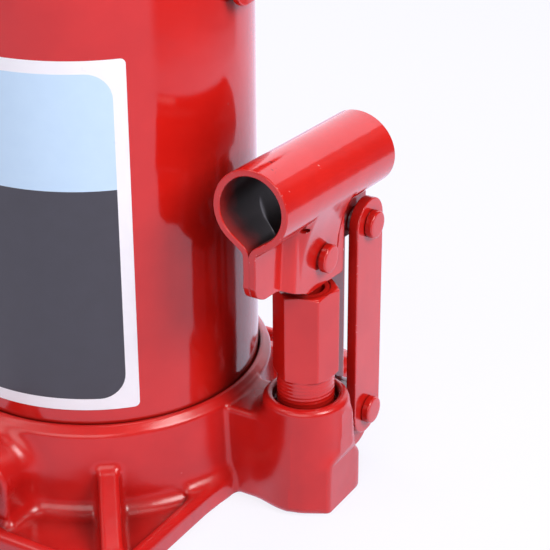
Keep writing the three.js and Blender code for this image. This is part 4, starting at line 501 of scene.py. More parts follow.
def enamel(name, light, dark, peel, peel_depth, sag_depth, roughness,
           shade_strength=0.9, bare_and_glint="#8f8587", scratches=()):
    """Thick gloss alkyd enamel sprayed on iron or steel: a wet red gloss over a faint
    orange peel of about peel millimetres and slow sags, a little deeper where it pools."""
    made, tree, shader, place = material(name)
    pool = noise(tree, place, POOL, 3)
    colour = mix(tree, ramp(tree, pool, *POOL_TINT), linear(light), linear(dark))
    normal = bump(tree, noise(tree, place, SAG, 1), sag_depth)
    normal = bump(tree, noise(tree, place, peel, 2), peel_depth, normal)
    nibs = ramp(tree, noise(tree, place, NIB, 1), *NIB_SHOWS)
    normal = bump(tree, nibs, NIB_DEPTH, normal, NIB_STRENGTH)
    # paint is thin on the edges, and knocked off them here and there
    eased = add(tree, "Bevel", {"Radius": EDGE_REACH * MM}, samples=4).outputs[0]
    flat = add(tree, "NewGeometry").outputs["Normal"]
    meet = add(tree, "VectorMath", {0: eased, 1: flat}, operation="DOT_PRODUCT")
    edge = ramp(tree, meet.outputs["Value"], *EDGE_SHOWS)
    knocked = ramp(tree, noise(tree, place, KNOCK, 4), *KNOCK_SHOWS)
    thin = reckon(tree, "MULTIPLY", edge, THIN_PAINT)
    colour = mix(tree, thin, colour, linear("#8e1411"))
    # knocked spots take the bare colour; the sheet's pale one is a painted highlight as well as
    # bare steel
    colour = mix(tree, reckon(tree, "MULTIPLY", edge, knocked), colour, linear(bare_and_glint))
    # painted shade: darker brown red where ambient occlusion finds parts close together, less on
    # walls by the floor
    shut = add(tree, "AmbientOcclusion", {"Distance": PAINTED_SHADE_REACH * MM}, samples=6)
    painted_shade = ramp(tree, shut.outputs["AO"], *PAINTED_SHADE_SHOWS, 0, shade_strength)
    kept = ramp(tree, along(tree, place, "Z"), *SHADE_LIFTS_BY_FLOOR)
    kept = reckon(tree, "MAXIMUM", kept, along(tree, flat, "Z"))
    colour = mix(tree, reckon(tree, "MULTIPLY", painted_shade, kept), colour, linear("#3d0f0c"))
    for spot, size, hue in scratches:
        colour = scratched(tree, place, colour, spot, size, hue)
    gloss = ramp(tree, pool, 0, 1, roughness * 0.7, roughness * 1.3)
    wire(tree, shader, {
        "Base Color": colour, "Roughness": gloss, "Normal": normal, "IOR": 1.52})
    return made


def metal(name, light, dark, grain, roughness, depth, stretch=(1, 1, 1)):
    """Bare metal with tool marks about grain millimetres apart, drawn out by stretch."""
    made, tree, shader, place = material(name)
    drawn = add(tree, "Mapping", {"Vector": place, "Scale": stretch}).outputs["Vector"]
    marks, stain = noise(tree, drawn, grain, 3), noise(tree, place, STAIN, 4)
    wire(tree, shader, {
        "Base Color": mix(tree, stain, linear(light), linear(dark)),
        "Roughness": ramp(tree, marks, 0, 1, roughness * 0.7, roughness * 1.4),
        "Normal": bump(tree, marks, depth), "Metallic": 1})
    return made


def coating(name, light, dark, grain, roughness, depth):
    """A dull coating, film or rubber with a grain of about grain millimetres."""
    made, tree, shader, place = material(name)
    grains = noise(tree, place, grain, 4)
    wire(tree, shader, {
        "Base Color": mix(tree, grains, linear(light), linear(dark)),
        "Roughness": ramp(tree, grains, 0, 1, roughness * 0.8, roughness * 1.2),
        "Normal": bump(tree, grains, depth), "IOR": 1.5})
    return made


def overspray(name, light, dark, red, reach, uneven):
    """Bare rolled steel with overspray that comes about reach millimetres in from the
    socket's mouth, more or less uneven."""
    made, tree, shader, place = material(name)
    scale = noise(tree, place, 3, 4)
    steel = mix(tree, scale, linear(light), linear(dark))
    drift = ramp(tree, noise(tree, place, 5, 3), 0, 1, -uneven * MM, uneven * MM)
    depth = reckon(tree, "ADD", along(tree, place, "Y"), drift)
    mouth = SOCKET_FRONT * MM
    mist = ramp(tree, depth, mouth, mouth + reach * MM, 1, 0, interpolation_type="SMOOTHSTEP")
    wire(tree, shader, {
        "Base Color": mix(tree, mist, steel, linear(red)),
        "Normal": bump(tree, scale, 0.04), "Roughness": 0.42, "IOR": 2.1})
    return made


# wet red over rough iron, whose sags and peel break up every highlight
CAST_ENAMEL = enamel(
    "cast_iron_red_enamel", "#cf1a16", "#c01614", peel=3.5, peel_depth=0.045,
    sag_depth=0.18, roughness=0.25)
# the same paint lying smooth on the drawn tube, with long clean reflections
TUBE_ENAMEL = enamel(
    "steel_tube_red_enamel", "#d41c15", "#cc1812", peel=2.6, peel_depth=0.010,
    sag_depth=0.05, roughness=0.11)
# bright and sharp on pressed sheet; where its edges are knocked bare, a pale pink white paints
# in their glints along with the bare steel
# the sheet gets about half as much painted shade in its crevices
PRESSED = dict(light="#d61f18", dark="#cb1a15", peel=2.6, peel_depth=0.012, sag_depth=0.07,
               roughness=0.12, shade_strength=0.5, bare_and_glint="#e3c6c9")
SHEET_ENAMEL = enamel("pressed_sheet_red_enamel", **PRESSED)
# with the marks where a handle or another tool has knocked the tube
SOCKET_ENAMEL = enamel("handle_socket_red_enamel", **PRESSED, scratches=[
    ((96.5, -26.2, 152.1), 1.6, "#6a1214"), ((99.4, -31.3, 151.7), 2.2, "#7c1a1e"),
    ((107.5, -32.7, 146.2), 0.8, "#f0b8b8"), ((106.2, -9.7, 146), 0.9, "#f4c8c0"),
])
# the slightly oily inside of the handle tube: a near black brown that paints in the shade deep
# in the tube as well as the dark steel, red only at its mouth
SOCKET_INSIDE = overspray("dark_steel_and_painted_shade", "#170b0a", "#241312", "#a3130f", 13, 6)
# a mirror for the ram, with the faint upright lines of its grinding
CHROME = metal("hard_chromed_steel", "#c9ccd0", "#bfc3c8", 0.8, 0.12, 0.002, (1, 1, 8))
# grey steel with a dull sheen, for the screw, its saddle and the plunger
TURNED = metal("turned_steel", "#9a9c9f", "#83868a", 0.6, 0.34, 0.006, (1, 1, 6))
# pale bluish fasteners that set themselves off from the paint
ZINC = metal("bright_zinc_plate", "#b9bcc2", "#a3a7ae", 1.2, 0.3, 0.004)
# the one warm metal, a washer under the pump
COPPER = metal("annealed_copper", "#b87646", "#9c5f38", 1.5, 0.4, 0.004)
# matt black rings and the plug
NITRILE = coating("nitrile_rubber", "#1b1b1d", "#242426", 0.9, 0.62, 0.02)
# the same rubber under a mist of paint, a soft red ring round the plunger
WIPER_MIST = coating("red_mist_on_rubber", "#d01c16", "#a31511", 2.2, 0.4, 0.02)
# the label's clean white border and its two flat panels of print
FILM_WHITE = coating("white_vinyl_film", "#fbf8fe", "#f6f3fb", 6, 0.3, 0.004)
FILM_BLUE = coating("pale_blue_print", "#cde6ff", "#c6e0fb", 6, 0.3, 0.004)
FILM_CHARCOAL = coating("charcoal_print", "#3e3d46", "#39383f", 6, 0.32, 0.004)
BY_SLOT = {
    "red_enamel": SHEET_ENAMEL,
    "ground_steel": CHROME,
    "plated_steel": ZINC,
    "copper": COPPER,
    "rubber": NITRILE,
    "label_film": FILM_WHITE,
}
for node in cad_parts.values():
    for material_slot in node.material_slots:
        finish = BY_SLOT[material_slot.material.name]
        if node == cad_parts["pump_wiper"]:
            finish = WIPER_MIST  # the jack was sprayed after it was put together
        material_slot.link = "OBJECT"
        material_slot.material = finish


# Base casting

def plan_rectangle(x, y, half_x, half_y, corner):
    u, v = np.abs(x) - half_x + corner, np.abs(y) - half_y + corner
    outside = np.hypot(np.maximum(u, 0), np.maximum(v, 0))
    return outside + np.minimum(np.maximum(u, v), 0) - corner


def slant(x, y, start, end):
    """Distance in front of the line from start to end, to its right."""
    run, rise = end[0] - start[0], end[1] - start[1]
    return ((x - start[0]) * rise - (y - start[1]) * run) / math.hypot(run, rise)


def flange(x, y, z):
    """The base plate with its raised rim."""
    slab = rounded_common(
        plan_rectangle(x, y, HALF_WIDTH, HALF_LENGTH, CORNER), z - RIM_TOP, RIM_ROUND)
    tray = plan_rectangle(
        x, y, HALF_WIDTH - RIM_WIDTH, HALF_LENGTH - RIM_WIDTH, CORNER - RIM_WIDTH)
    return smooth_cut(slab, np.maximum(tray, FLOOR_TOP - z), TRAY_BLEND)


def pedestal(radius, z):
    """The round wall under the tank, which leans in to a narrow collar."""
    wall = slant(radius, z, (WALL_FOOT, FLOOR_TOP), (WALL_TOP, WALL_EDGE))
    brow = (WALL_TOP - COLLAR_EDGE, WALL_EDGE + COLLAR_EDGE)
    shoulder = slant(radius, z, brow, (COLLAR_RADIUS, COLLAR_TOP))
    wall = rounded_common(wall, shoulder, SHOULDER_ROUND)
    return rounded_common(wall, z - COLLAR_TOP, COLLAR_ROUND)


def corner_ribs(x, y, z):
    """The four ribs from the pedestal down to the corners of the flange."""
    spoke = math.atan2(HALF_LENGTH, HALF_WIDTH)
    out = np.abs(x) * math.cos(spoke) + np.abs(y) * math.sin(spoke)
    across = np.abs(y) * math.cos(spoke) - np.abs(x) * math.sin(spoke)
    crest = z - np.interp(out, *zip(*RIB_CREST))
    rib = rounded_common(np.abs(across) - RIB_HALF, RIB_LEVEL * crest, RIB_ROUND)
    return rounded_common(rib, out - RIB_REACH, RIB_ROUND)


def valve_boss(x, y, z):
    """The boss of the release valve, arched above and straight down to the ground."""
    arch = np.where(z > VALVE_Z, np.hypot(x, z - VALVE_Z), np.abs(x)) - VALVE_BOSS
    return np.maximum(rounded_common(arch, -VALVE_FACE - y, VALVE_ROUND), y + VALVE_ROOT)


def pump_foot(x, y, z):
    """The web and the post that hold the pump, with the block on the post's outer side."""
    px = x - PUMP_X
    flank = slant(np.abs(y), z, (WEB_FOOT_HALF, 0), (WEB_TOP_HALF, WEB_TOP))
    web = rounded_common(flank, z - WEB_TOP, WEB_ROUND)
    web = np.maximum(web, np.maximum(WEB_ROOT - x, px))
    cone = slant(np.hypot(px, y), z, (BOSS_FOOT, 0), (BOSS_RADIUS, WEB_TOP))
    post = rounded_common(cone, z - BOSS_TOP, POST_ROUND)
    gusset = np.maximum(px - BLOCK_FACE, y - np.interp(z, *zip(*GUSSET_LINE)))
    gusset = np.maximum(gusset, GUSSET_LEVEL * (z - GUSSET_TOP))
    gusset = np.maximum(gusset, np.maximum(-px, -y))
    post = smooth_union(post, gusset, GUSSET_BLEND)
    top = np.interp(y, (BLOCK_SHOULDER, BLOCK_REAR), (BLOCK_TOP, BLOCK_REAR_TOP))
    block = rounded_common(px - BLOCK_FACE, (z - top) * BLOCK_LEVEL, BLOCK_ROUND)
    block = rounded_common(block, BLOCK_FRONT - y, BLOCK_ROUND)
    block = rounded_common(block, y - BLOCK_REAR, BLOCK_ROUND)
    foot = rounded_common(smooth_union(web, post, POST_BLEND), -z, PUMP_SOLE)
    return smooth_union(foot, np.maximum(block, -px), BLOCK_BLEND)


def link_lug(x, y, z):
    """The lug behind the post that the links swing on."""
    upper = -slant(y, z, (0, LUG_ROOT_TOP), (LUG_Y, LUG_Z + LUG_ROUND))
    tongue = np.maximum(np.maximum(LUG_FOOT - z, upper), np.maximum(y - LUG_Y, -y))
    heel = np.hypot(y - LUG_Y, z - LUG_FOOT - LUG_FOOT_ROUND) - LUG_FOOT_ROUND
    heel = smooth_union(heel, np.hypot(y - LUG_Y, z - LUG_Z) - LUG_ROUND, HEEL_BLEND)
    return rounded_common(
        np.minimum(tongue, heel), np.abs(x - PUMP_X) - LUG_HALF, LUG_EDGE)


def bored(body, x, y, z):
    """The casting with its seat, hub and well for the tank and ram, and its bores."""
    radius, reach = np.hypot(x, y), np.hypot(x - PUMP_X, y)
    seat = np.maximum(radius - SEAT_RADIUS, SEAT_FLOOR - z)
    hub = np.maximum(radius - HUB_RADIUS, z - HUB_TOP)
    hub = np.maximum(hub, SEAT_FLOOR - HUB_ROOT - z)
    body = np.minimum(smooth_cut(body, seat, BORE_BLEND), hub)
    body = np.maximum(body, -np.maximum(radius - WELL_RADIUS, WELL_FLOOR - z))
    mouth = np.maximum(reach - COUNTERBORE, COUNTERBORE_FLOOR - z)
    body = smooth_cut(body, mouth, COUNTERBORE_BLEND)
    body = np.maximum(body, -np.maximum(reach - PUMP_BORE, PUMP_BORE_FLOOR - z))
    valve = np.hypot(x, z - VALVE_Z) - VALVE_BORE
    body = np.maximum(body, -np.maximum(valve, y + VALVE_BOTTOM))
    eye = np.hypot(y - LUG_Y, z - LUG_Z) - PIN_RADIUS - PIN_GAP
    body = np.maximum(body, -np.maximum(eye, np.abs(x - PUMP_X) - LUG_HALF - OVERRUN))
    relief = np.hypot(x - RELIEF_X, z - RELIEF_Z) - RELIEF_BORE
    return smooth_cut(body, np.maximum(relief, RELIEF_DEPTH - y), BORE_BLEND)


def casting(x, y, z):
    """The iron casting: how far a point is outside it."""
    body = smooth_union(flange(x, y, z), pedestal(np.hypot(x, y), z), PEDESTAL_BLEND)
    body = smooth_union(body, corner_ribs(x, y, z), RIB_BLEND)
    body = smooth_union(body, valve_boss(x, y, z), VALVE_BLEND)
    body = smooth_union(body, pump_foot(x, y, z), PUMP_BLEND)
    body = smooth_union(body, link_lug(x, y, z), LUG_BLEND)
    # the outer face is cut flat as high as the block, and gives way to the post above it
    face = PUMP_X + BLOCK_FACE + FACE_ROOM - x + FACE_OPENS * np.maximum(z - BLOCK_TOP, 0)
    body = rounded_common(body, -face, FACE_ROUND)
    body = body + MOULD_WAVE * np.sin(x / 6 + 1) * np.sin(y / 7 + 2) * np.sin(z / 5)
    body = rounded_common(body, -z, SOLE_ROUND)
    # none of that swells past the drum, the post or the flange
    body = np.maximum(body, -WALL_FOOT + FACE_ROOM - x)
    body = np.maximum(body, x - PUMP_X - BOSS_FOOT + FACE_ROOM)
    body = np.maximum(body, np.abs(y) - HALF_LENGTH + END_ROOM)
    return bored(body, x, y, z)


points, faces, normals = surface(
    casting, (-73, -98, -1.6), (115, 98, 50), CAST_CELL)
show("casting", points, faces, CAST_ENAMEL, "base", "red_enamel", ["base_casting"],
     normals=normals)


# Tank with its label

show("tank", *ring(softened([
    (TANK_BORE, TANK_FOOT), (TANK_RADIUS, TANK_FOOT, TANK_ROUND),
    (TANK_RADIUS, TANK_TOP, TANK_ROUND), (TANK_BORE, TANK_TOP)]), LARGE),
    TUBE_ENAMEL, "base", "red_enamel", ["reservoir_tank"])


def film(name, radius, thick, half, foot, top, corners, finish, replaced=()):
    """A thin sheet on the tank, half millimetres to each side of the label's middle.
    corners gives its rounding at the foot and at the top."""
    def margin(column, corner):
        past = max(0, abs(column) - (half - corner))
        return corner - math.sqrt(max(corner**2 - past**2, 0))

    columns = list(np.linspace(-half, half, FILM_COLUMNS))
    for corner in corners:
        inset = corner * (1 - np.cos(np.linspace(0, math.pi / 2, 9)))
        columns += [*(half - inset), *(inset - half)]
    loops = []
    for column in sorted({round(float(c), 4) for c in columns}):
        angle = math.radians(LABEL_MIDDLE) + column / radius
        low = foot + margin(column, corners[0])
        high = max(top - margin(column, corners[1]), low + 0.01)
        loop = [(radius, low), (radius + thick, low), (radius + thick, high), (radius, high)]
        loops.append([(r * math.cos(angle), r * math.sin(angle), z) for r, z in loop])
    points, faces = skin(loops, ("first", "last"))
    show(name, points, [f[::-1] for f in faces], finish, "base", "label_film", replaced,
         crease=50)


label_half = math.radians(LABEL_HALF) * TANK_RADIUS
print_half, print_radius = label_half - LABEL_BORDER, TANK_RADIUS + FILM_GAP + FILM_THICK
film("label_film", TANK_RADIUS + FILM_GAP, FILM_THICK, label_half, LABEL_FOOT, LABEL_TOP,
     (FILM_CORNER, FILM_CORNER), FILM_WHITE, ["label"])
film("label_upper_panel", print_radius, PRINT_THICK, print_half, LABEL_DIVIDE,
     LABEL_TOP - LABEL_BORDER, (0, LABEL_CORNER), FILM_BLUE)
film("label_lower_panel", print_radius, PRINT_THICK, print_half, LABEL_FOOT + LABEL_BORDER,
     LABEL_DIVIDE, (LABEL_CORNER, 0), FILM_CHARCOAL)


# Carrying strap with its bosses and screws

def strap_radius(degrees):
    """How far from the tank's axis the strap's inner face is: on its seats, or bowed out."""
    first, last = STRAP_START + STRAP_SEAT, STRAP_END - STRAP_SEAT
    share = np.clip((degrees - first) / (last - first), 0, 1)
    return TANK_RADIUS + STRAP_STANDOFF + STRAP_BULGE * np.sin(np.pi * share) ** 2


def strap_loops():
    """The strap's sections from its front end to its rear end, both with round corners."""
    degrees = np.linspace(STRAP_START, STRAP_END, STRAP_STATIONS)
    ends = (STRAP_END - STRAP_START) / STRAP_STATIONS * np.linspace(0, 8, 20)
    degrees = np.unique(np.concatenate([degrees, STRAP_START + ends, STRAP_END - ends]))
    angle = np.radians(degrees)
    r = strap_radius(degrees)
    inner = np.stack([r * np.cos(angle), r * np.sin(angle)], 1)
    tangent = np.gradient(inner, axis=0)
    tangent /= np.linalg.norm(tangent, axis=1)[:, None]
    out = np.stack([tangent[:, 1], -tangent[:, 0]], 1)
    middle = STRAP_FOOT + STRAP_WIDTH / 2
    loops = []
    for i, d in enumerate(degrees):
        from_end = min(d - STRAP_START, STRAP_END - d) * math.pi / 180 * TANK_RADIUS
        past = STRAP_CORNER - from_end
        half = STRAP_WIDTH / 2
        if past > 0:
            half -= STRAP_CORNER - math.sqrt(max(STRAP_CORNER**2 - past**2, 0))
        profile = [(0, -half + STRAP_EDGE), (STRAP_BEVEL, -half + STRAP_BEVEL),
                   (STRAP_EDGE, -half), (STRAP_THICK - STRAP_EDGE, -half),
                   (STRAP_THICK - STRAP_BEVEL, -half + STRAP_BEVEL),
                   (STRAP_THICK, -half + STRAP_EDGE)]
        profile += [(depth, -level) for depth, level in profile[::-1]]
        loops.append([(*(inner[i] + depth * out[i]), middle + level)
                      for depth, level in profile])
    return loops


points, faces = skin(strap_loops(), ("first", "last"))
show("strap", points, [f[::-1] for f in faces], SHEET_ENAMEL, "base", "red_enamel",
     ["carry_strap"])
for end, degrees in zip(("front", "rear"), STRAP_SCREWS):
    axis = (math.cos(math.radians(degrees)), math.sin(math.radians(degrees)), 0)
    place = faced(axis, (0, 0, STRAP_FOOT + STRAP_WIDTH / 2))
    seat = TANK_RADIUS + STRAP_STANDOFF
    weld = STRAP_BOSS + BOSS_WELD
    show(f"strap_boss_{end}_pad", *rod(softened([
        (AXIS, TANK_BORE), (weld, TANK_BORE), (weld, TANK_RADIUS + 0.2, 1),
        (STRAP_BOSS, TANK_RADIUS + BOSS_WELD, 0.6), (STRAP_BOSS, seat - BOSS_GAP, 0.4),
        (AXIS, seat - BOSS_GAP)])),
        TUBE_ENAMEL, "base", "red_enamel", ["strap_boss_" + end], place)
    foot = seat + STRAP_THICK + WASHER
    top = foot + SCREW_HEAD
    rows = [(AXIS, foot - 4), (SCREW_SHANK, foot - 4), (SCREW_SHANK, foot)]
    rows += hex_rows(SCREW_FLATS, foot, top, 0.8, 0.4, 0, 2 * ROUND)
    rows += [(5.2, top), (4.9, top - SCREW_DISH), (AXIS, top - SCREW_DISH)]
    show(f"strap_screw_{end}_head", *rod(rows, 2 * ROUND), ZINC, "base", "plated_steel",
         ["strap_screw_" + end], place)


# Filler plug: its bulb, neck, brim and dished head

show("filler_plug_cap", *rod(softened([
    (AXIS, -6.5), (4.2, -6.5, 0.8), (5.6, -4.2, 0.5), (4.7, -3.8), (4.7, 0.3),
    (PLUG_RADIUS, 0.3, 0.4), (PLUG_RADIUS, 2, 1.2), (PLUG_RADIUS - 1.6, 3, 0.8),
    (4.6, 3, 0.6), (3.6, 2.2, 0.6), (AXIS, 2)])),
    NITRILE, "base", "rubber", ["filler_plug"], faced((-1, 0, 0), (-TANK_RADIUS, 0, PLUG_Z)))


# Top nut, ram and extension screw

NUT_SIDES = 288
rows = softened([
    (RAM_RADIUS + RAM_GAP, NUT_FOOT), (NUT_FLANGE, NUT_FOOT, 0.8),
    (NUT_FLANGE, NUT_HEX_FOOT - NUT_EDGE, 1.5), (NUT_FLANGE - NUT_EDGE, NUT_HEX_FOOT, 1.2),
    (NUT_HEX_ROOT, NUT_HEX_FOOT)])
rows += hex_rows(NUT_FLATS, NUT_HEX_FOOT, NUT_TOP, NUT_CHAMFER, 1.2, 30, NUT_SIDES)
rows += softened([
    (NUT_CROWN, NUT_TOP), (WIPER_RADIUS + 0.2, NUT_TOP, 0.8),
    (WIPER_RADIUS + 0.2, NUT_TOP - WIPER_DEPTH), (RAM_RADIUS + RAM_GAP, NUT_TOP - WIPER_DEPTH)])
show("top_nut_cap", *ring(rows, NUT_SIDES), CAST_ENAMEL, "base", "red_enamel", ["top_nut"])

show("wiper_lip", *ring(softened([
    (RAM_RADIUS + 0.1, NUT_TOP - 6), (WIPER_RADIUS, NUT_TOP - 6), (WIPER_RADIUS, NUT_TOP, 0.4),
    (RAM_RADIUS + 1.3, NUT_TOP, 0.3), (RAM_RADIUS + 0.1, NUT_TOP + WIPER_LIP)]), LARGE),
    NITRILE, "base", "rubber", ["ram_wiper"])

show("ram_barrel", *ring(softened([
    (RAM_BORE, RAM_FOOT), (RAM_RADIUS, RAM_FOOT), (RAM_RADIUS, RAM_TOP - RAM_EDGE, 0.4),
    (RAM_RADIUS - RAM_EDGE, RAM_TOP, 0.4), (RAM_BORE + 1.3, RAM_TOP, 0.4),
    (RAM_BORE, RAM_TOP - 1.3)]), LARGE),
    CHROME, "ram_body", "ground_steel", ["ram"])


def saddle(x, y, z):
    """The toothed saddle: how far a point is outside it."""
    body = rounded_common(np.hypot(x, y) - SADDLE_RADIUS, z - SADDLE_TOP, SADDLE_ROUND)
    body = rounded_common(body, SADDLE_FOOT - z, SADDLE_ROUND)
    for across in (x, y):
        lane = np.abs(np.mod(across, GROOVE_PITCH) - GROOVE_PITCH / 2) - GROOVE_WIDTH / 2
        groove = np.maximum(lane, SADDLE_TOP - GROOVE_DEPTH - z)
        body = smooth_cut(body, groove, GROOVE_BLEND)
    return body


points, faces, normals = surface(
    saddle, (-27, -27, SADDLE_FOOT - 2), (27, 27, SADDLE_TOP + 2), SADDLE_CELL)
show("saddle", points, faces, TURNED, "screw", "plated_steel", ["extension_screw"],
     normals=normals)

SCREW_SIDES = 96
turn = np.linspace(0, 1, SCREW_SIDES, endpoint=False)
rows = [(AXIS, SCREW_TAIL), (SCREW_END, SCREW_TAIL)]
for height in np.arange(SCREW_TAIL + 1.5, SADDLE_FOOT, 0.5):
    phase = (height / SCREW_PITCH - turn) % 1
    ridge = np.clip(np.abs(phase - 0.5) * SCREW_FLANK - SCREW_ROOT, 0, 1)
    fade = min(1, (SADDLE_FOOT - height) / SCREW_RUN_OUT)
    rows.append((SCREW_RADIUS - SCREW_DEPTH * (1 - ridge) * fade, height))
rows += [(SCREW_RADIUS, SADDLE_FOOT + 0.5), (AXIS, SADDLE_FOOT + 0.5)]
show("screw_thread", *rod(rows, SCREW_SIDES), TURNED, "screw", "plated_steel", crease=60)


# Release valve

place = faced((0, -1, 0), (0, 0, VALVE_Z))
top = VALVE_FACE + GLAND_HIGH
rows = [(GLAND_BORE, VALVE_FACE - GLAND_DEPTH), (GLAND_NECK, VALVE_FACE - GLAND_DEPTH),
        (GLAND_NECK, VALVE_FACE)]
rows += hex_rows(PUMP_FLATS, VALVE_FACE, top, 1.5, 0.5, 0, 2 * ROUND)
rows += [(8.2, top), (6.3, top), (GLAND_BORE, top - 0.4)]
show("gland_nut", *ring(rows, 2 * ROUND), ZINC, "base", "plated_steel",
     ["release_gland_nut"], place)
head = top + 0.3
end = head + SPINDLE_HIGH
spindle = show("valve_head", *rod(softened([
    (AXIS, SPINDLE_ROOT), (SPINDLE_RADIUS, SPINDLE_ROOT), (SPINDLE_RADIUS, head, 0.2),
    (SPINDLE_HEAD, head, 0.8), (SPINDLE_HEAD, end, 1), (AXIS, end)])),
    ZINC, "valve_spindle", "plated_steel", ["release_valve"], place)
cut_away(spindle, [box((-10, -end - 1, VALVE_Z - SLOT_HALF),
                       (10, -end + SLOT_DEPTH, VALVE_Z + SLOT_HALF))])


# Pump cylinder and plunger

PUMP_SIDES = 216
turn = np.linspace(0, 1, PUMP_SIDES, endpoint=False)
rows = [(PLUNGER_RADIUS + PLUNGER_GAP, BARREL_FOOT), (NECK_RADIUS, BARREL_FOOT)]
for height in np.arange(THREAD_FOOT, HEX_FOOT - 0.9, 0.2):
    phase = (height / THREAD_PITCH - turn) % 1
    valley = 0.5 - 0.5 * np.cos(2 * np.pi * phase)
    rows.append((NECK_RADIUS - THREAD_DEPTH * valley, height))
rows += [(NECK_RADIUS - 0.12, HEX_FOOT - 0.5), (NECK_RADIUS - 0.05, HEX_FOOT)]
rows += hex_rows(PUMP_FLATS, HEX_FOOT, HEX_TOP, 1.6, 0.7, PUMP_TURN + 30, PUMP_SIDES)
rows += softened([
    (10.2, HEX_TOP), (CUP_RADIUS, HEX_TOP, 0.3), (CUP_RADIUS, HEX_TOP - CUP_DEPTH),
    (PLUNGER_RADIUS + PLUNGER_GAP, HEX_TOP - CUP_DEPTH)])
show("pump_barrel", *ring(rows, PUMP_SIDES), SHEET_ENAMEL, "base", "red_enamel",
     ["pump_cylinder"], faced((0, 0, 1), (PUMP_X, 0, 0)), crease=50)


def plunger(x, y, z):
    """The plunger with its tang and eye: how far a point is outside it."""
    x = x - PUMP_X
    shank = np.maximum(np.hypot(x, y) - PLUNGER_RADIUS, z - PIN_Z)
    shank = rounded_common(shank, PLUNGER_FOOT - z, 1)
    tang = np.maximum(shank, np.maximum(np.abs(x) - TANG_HALF, TANG_FOOT - z))
    shank = np.minimum(np.maximum(shank, z - TANG_FOOT), tang)
    eye = np.hypot(y, z - PIN_Z) - EYE_RADIUS
    eye = rounded_common(eye, np.abs(x) - TANG_HALF, 0.6)
    slot = np.hypot(np.maximum(np.abs(y) - EYE_SLACK, 0), z - PIN_Z) - EYE_SLOT
    return np.maximum(np.minimum(shank, eye), -slot)


points, faces, normals = surface(
    plunger, (PUMP_X - 9, -10, 48), (PUMP_X + 9, 10, PIN_Z + 10), PLUNGER_CELL)
plunger_rod = show("plunger_rod", points, faces, [TURNED, SHEET_ENAMEL], "plunger_body",
                   "ground_steel", ["pump_plunger"], normals=normals)
for polygon in plunger_rod.data.polygons:
    # this much of it stood out when the jack was sprayed
    if polygon.center.z > (HEX_TOP - SPRAYED_ABOVE) * MM:
        polygon.material_index = 1


# Pins, clips, spacers and links

CLIP_OUTLINE = [(3.3, 0.15), (3.3, 0.85), (3.45, CLIP_THICK), (5.8, CLIP_THICK), (6, 0.8),
                (6, 0.2), (5.8, 0), (3.45, 0)]


def headed_pin(name, y, z, reach, standoff, body, node):
    """A pin across the pump, with its head to the right and a clip on its left end."""
    foot = reach + standoff
    top, tail = foot + HEAD_THICK, reach + PIN_TAIL
    show(name, *rod(softened([
        (AXIS, -tail), (PIN_RADIUS, -tail, 0.6), (PIN_RADIUS, foot, 0.15),
        (HEAD_RADIUS, foot, 0.3), (HEAD_RADIUS, top - 0.15, 0.9),
        (HEAD_RADIUS - 1.5, top, 1.2), (AXIS, top)])),
        SHEET_ENAMEL, body, "red_enamel", [node], faced((1, 0, 0), (PUMP_X, y, z)))
    inner = PUMP_X - reach - CLIP_STANDOFF
    mouth = math.asin(CLIP_MOUTH / CLIP_MIDDLE)
    loops = []
    for turn in np.linspace(mouth, 2 * np.pi - mouth, 48):
        loops.append([(inner - depth, y + r * math.sin(turn), z + r * math.cos(turn))
                      for r, depth in CLIP_OUTLINE])
    show(name + "_clip", *skin(loops, ("first", "last")), ZINC, body, "plated_steel",
         [node + "_clip"])


headed_pin("cheek_pin", 0, PIN_Z, CHEEK_FACE, 1.1, "socket", "plunger_pin")
headed_pin("upper_pin", LINK_Y, LINK_TOP, LINK_OUTER, 0.3, "links", "link_top_pin")
headed_pin("lower_pin", LINK_Y, LINK_FOOT, LINK_OUTER, 0.3, "links", "link_foot_pin")

for side, node in ((1, "right_spacer"), (-1, "left_spacer")):
    show(node + "_tube", *ring(softened([
        (PIN_HOLE, NECK_FACE), (SPACER_RADIUS, NECK_FACE, 0.2),
        (SPACER_RADIUS, LINK_INNER, 0.2), (PIN_HOLE, LINK_INNER)])),
        ZINC, "links", "plated_steel", [node], faced((side, 0, 0), (PUMP_X, LINK_Y, LINK_TOP)))


def drill(y, z, radius, start, end, sides=64):
    """A cutter across the pump, from start to end beside its axis."""
    points, faces = rod([(radius, start), (radius, end)], sides)
    return moved(points, faced((1, 0, 0), (PUMP_X, y, z))), faces


def link(name, side, node):
    """A flat bar with round ends and rounded edges, drilled for its two pins."""
    turn = np.linspace(0, np.pi, 33)
    outline = [(math.cos(t), math.sin(t), LINK_TOP) for t in turn]
    outline += [(-math.cos(t), -math.sin(t), LINK_FOOT) for t in turn]
    profile = [(LINK_HALF - inset * LINK_EDGE, depth * LINK_EDGE)
               for inset, depth in ((1, 0), (0.3, 0.1), (0.1, 0.3), (0, 1))]
    profile += [(r, LINK_OUTER - LINK_INNER - depth) for r, depth in profile[::-1]]
    loops = []
    for r, depth in profile:
        x = PUMP_X + side * (LINK_INNER + depth)
        loops.append([(x, LINK_Y + side * r * c, z + r * s) for c, s, z in outline])
    bar = show(name, *skin(loops, ("first", "last")), SHEET_ENAMEL, "links", "red_enamel",
               [node])
    cut_away(bar, [drill(LINK_Y, z, PIN_HOLE, -15, 15, 48) for z in (LINK_TOP, LINK_FOOT)])


link("link_bar_right", 1, "link_right")
link("link_bar_left", -1, "link_left")


# Handle socket: one sheet rolled into a tube whose edges come down as nose, clevis and neck

def smooth_step(share):
    return share * share * (3 - 2 * share)


def eased(line, at, width):
    """The height of a line of points at a place, with its corners eased over width."""
    spots = np.linspace(at - width, at + width, 9)
    return float(np.mean(np.interp(spots, *zip(*line))))


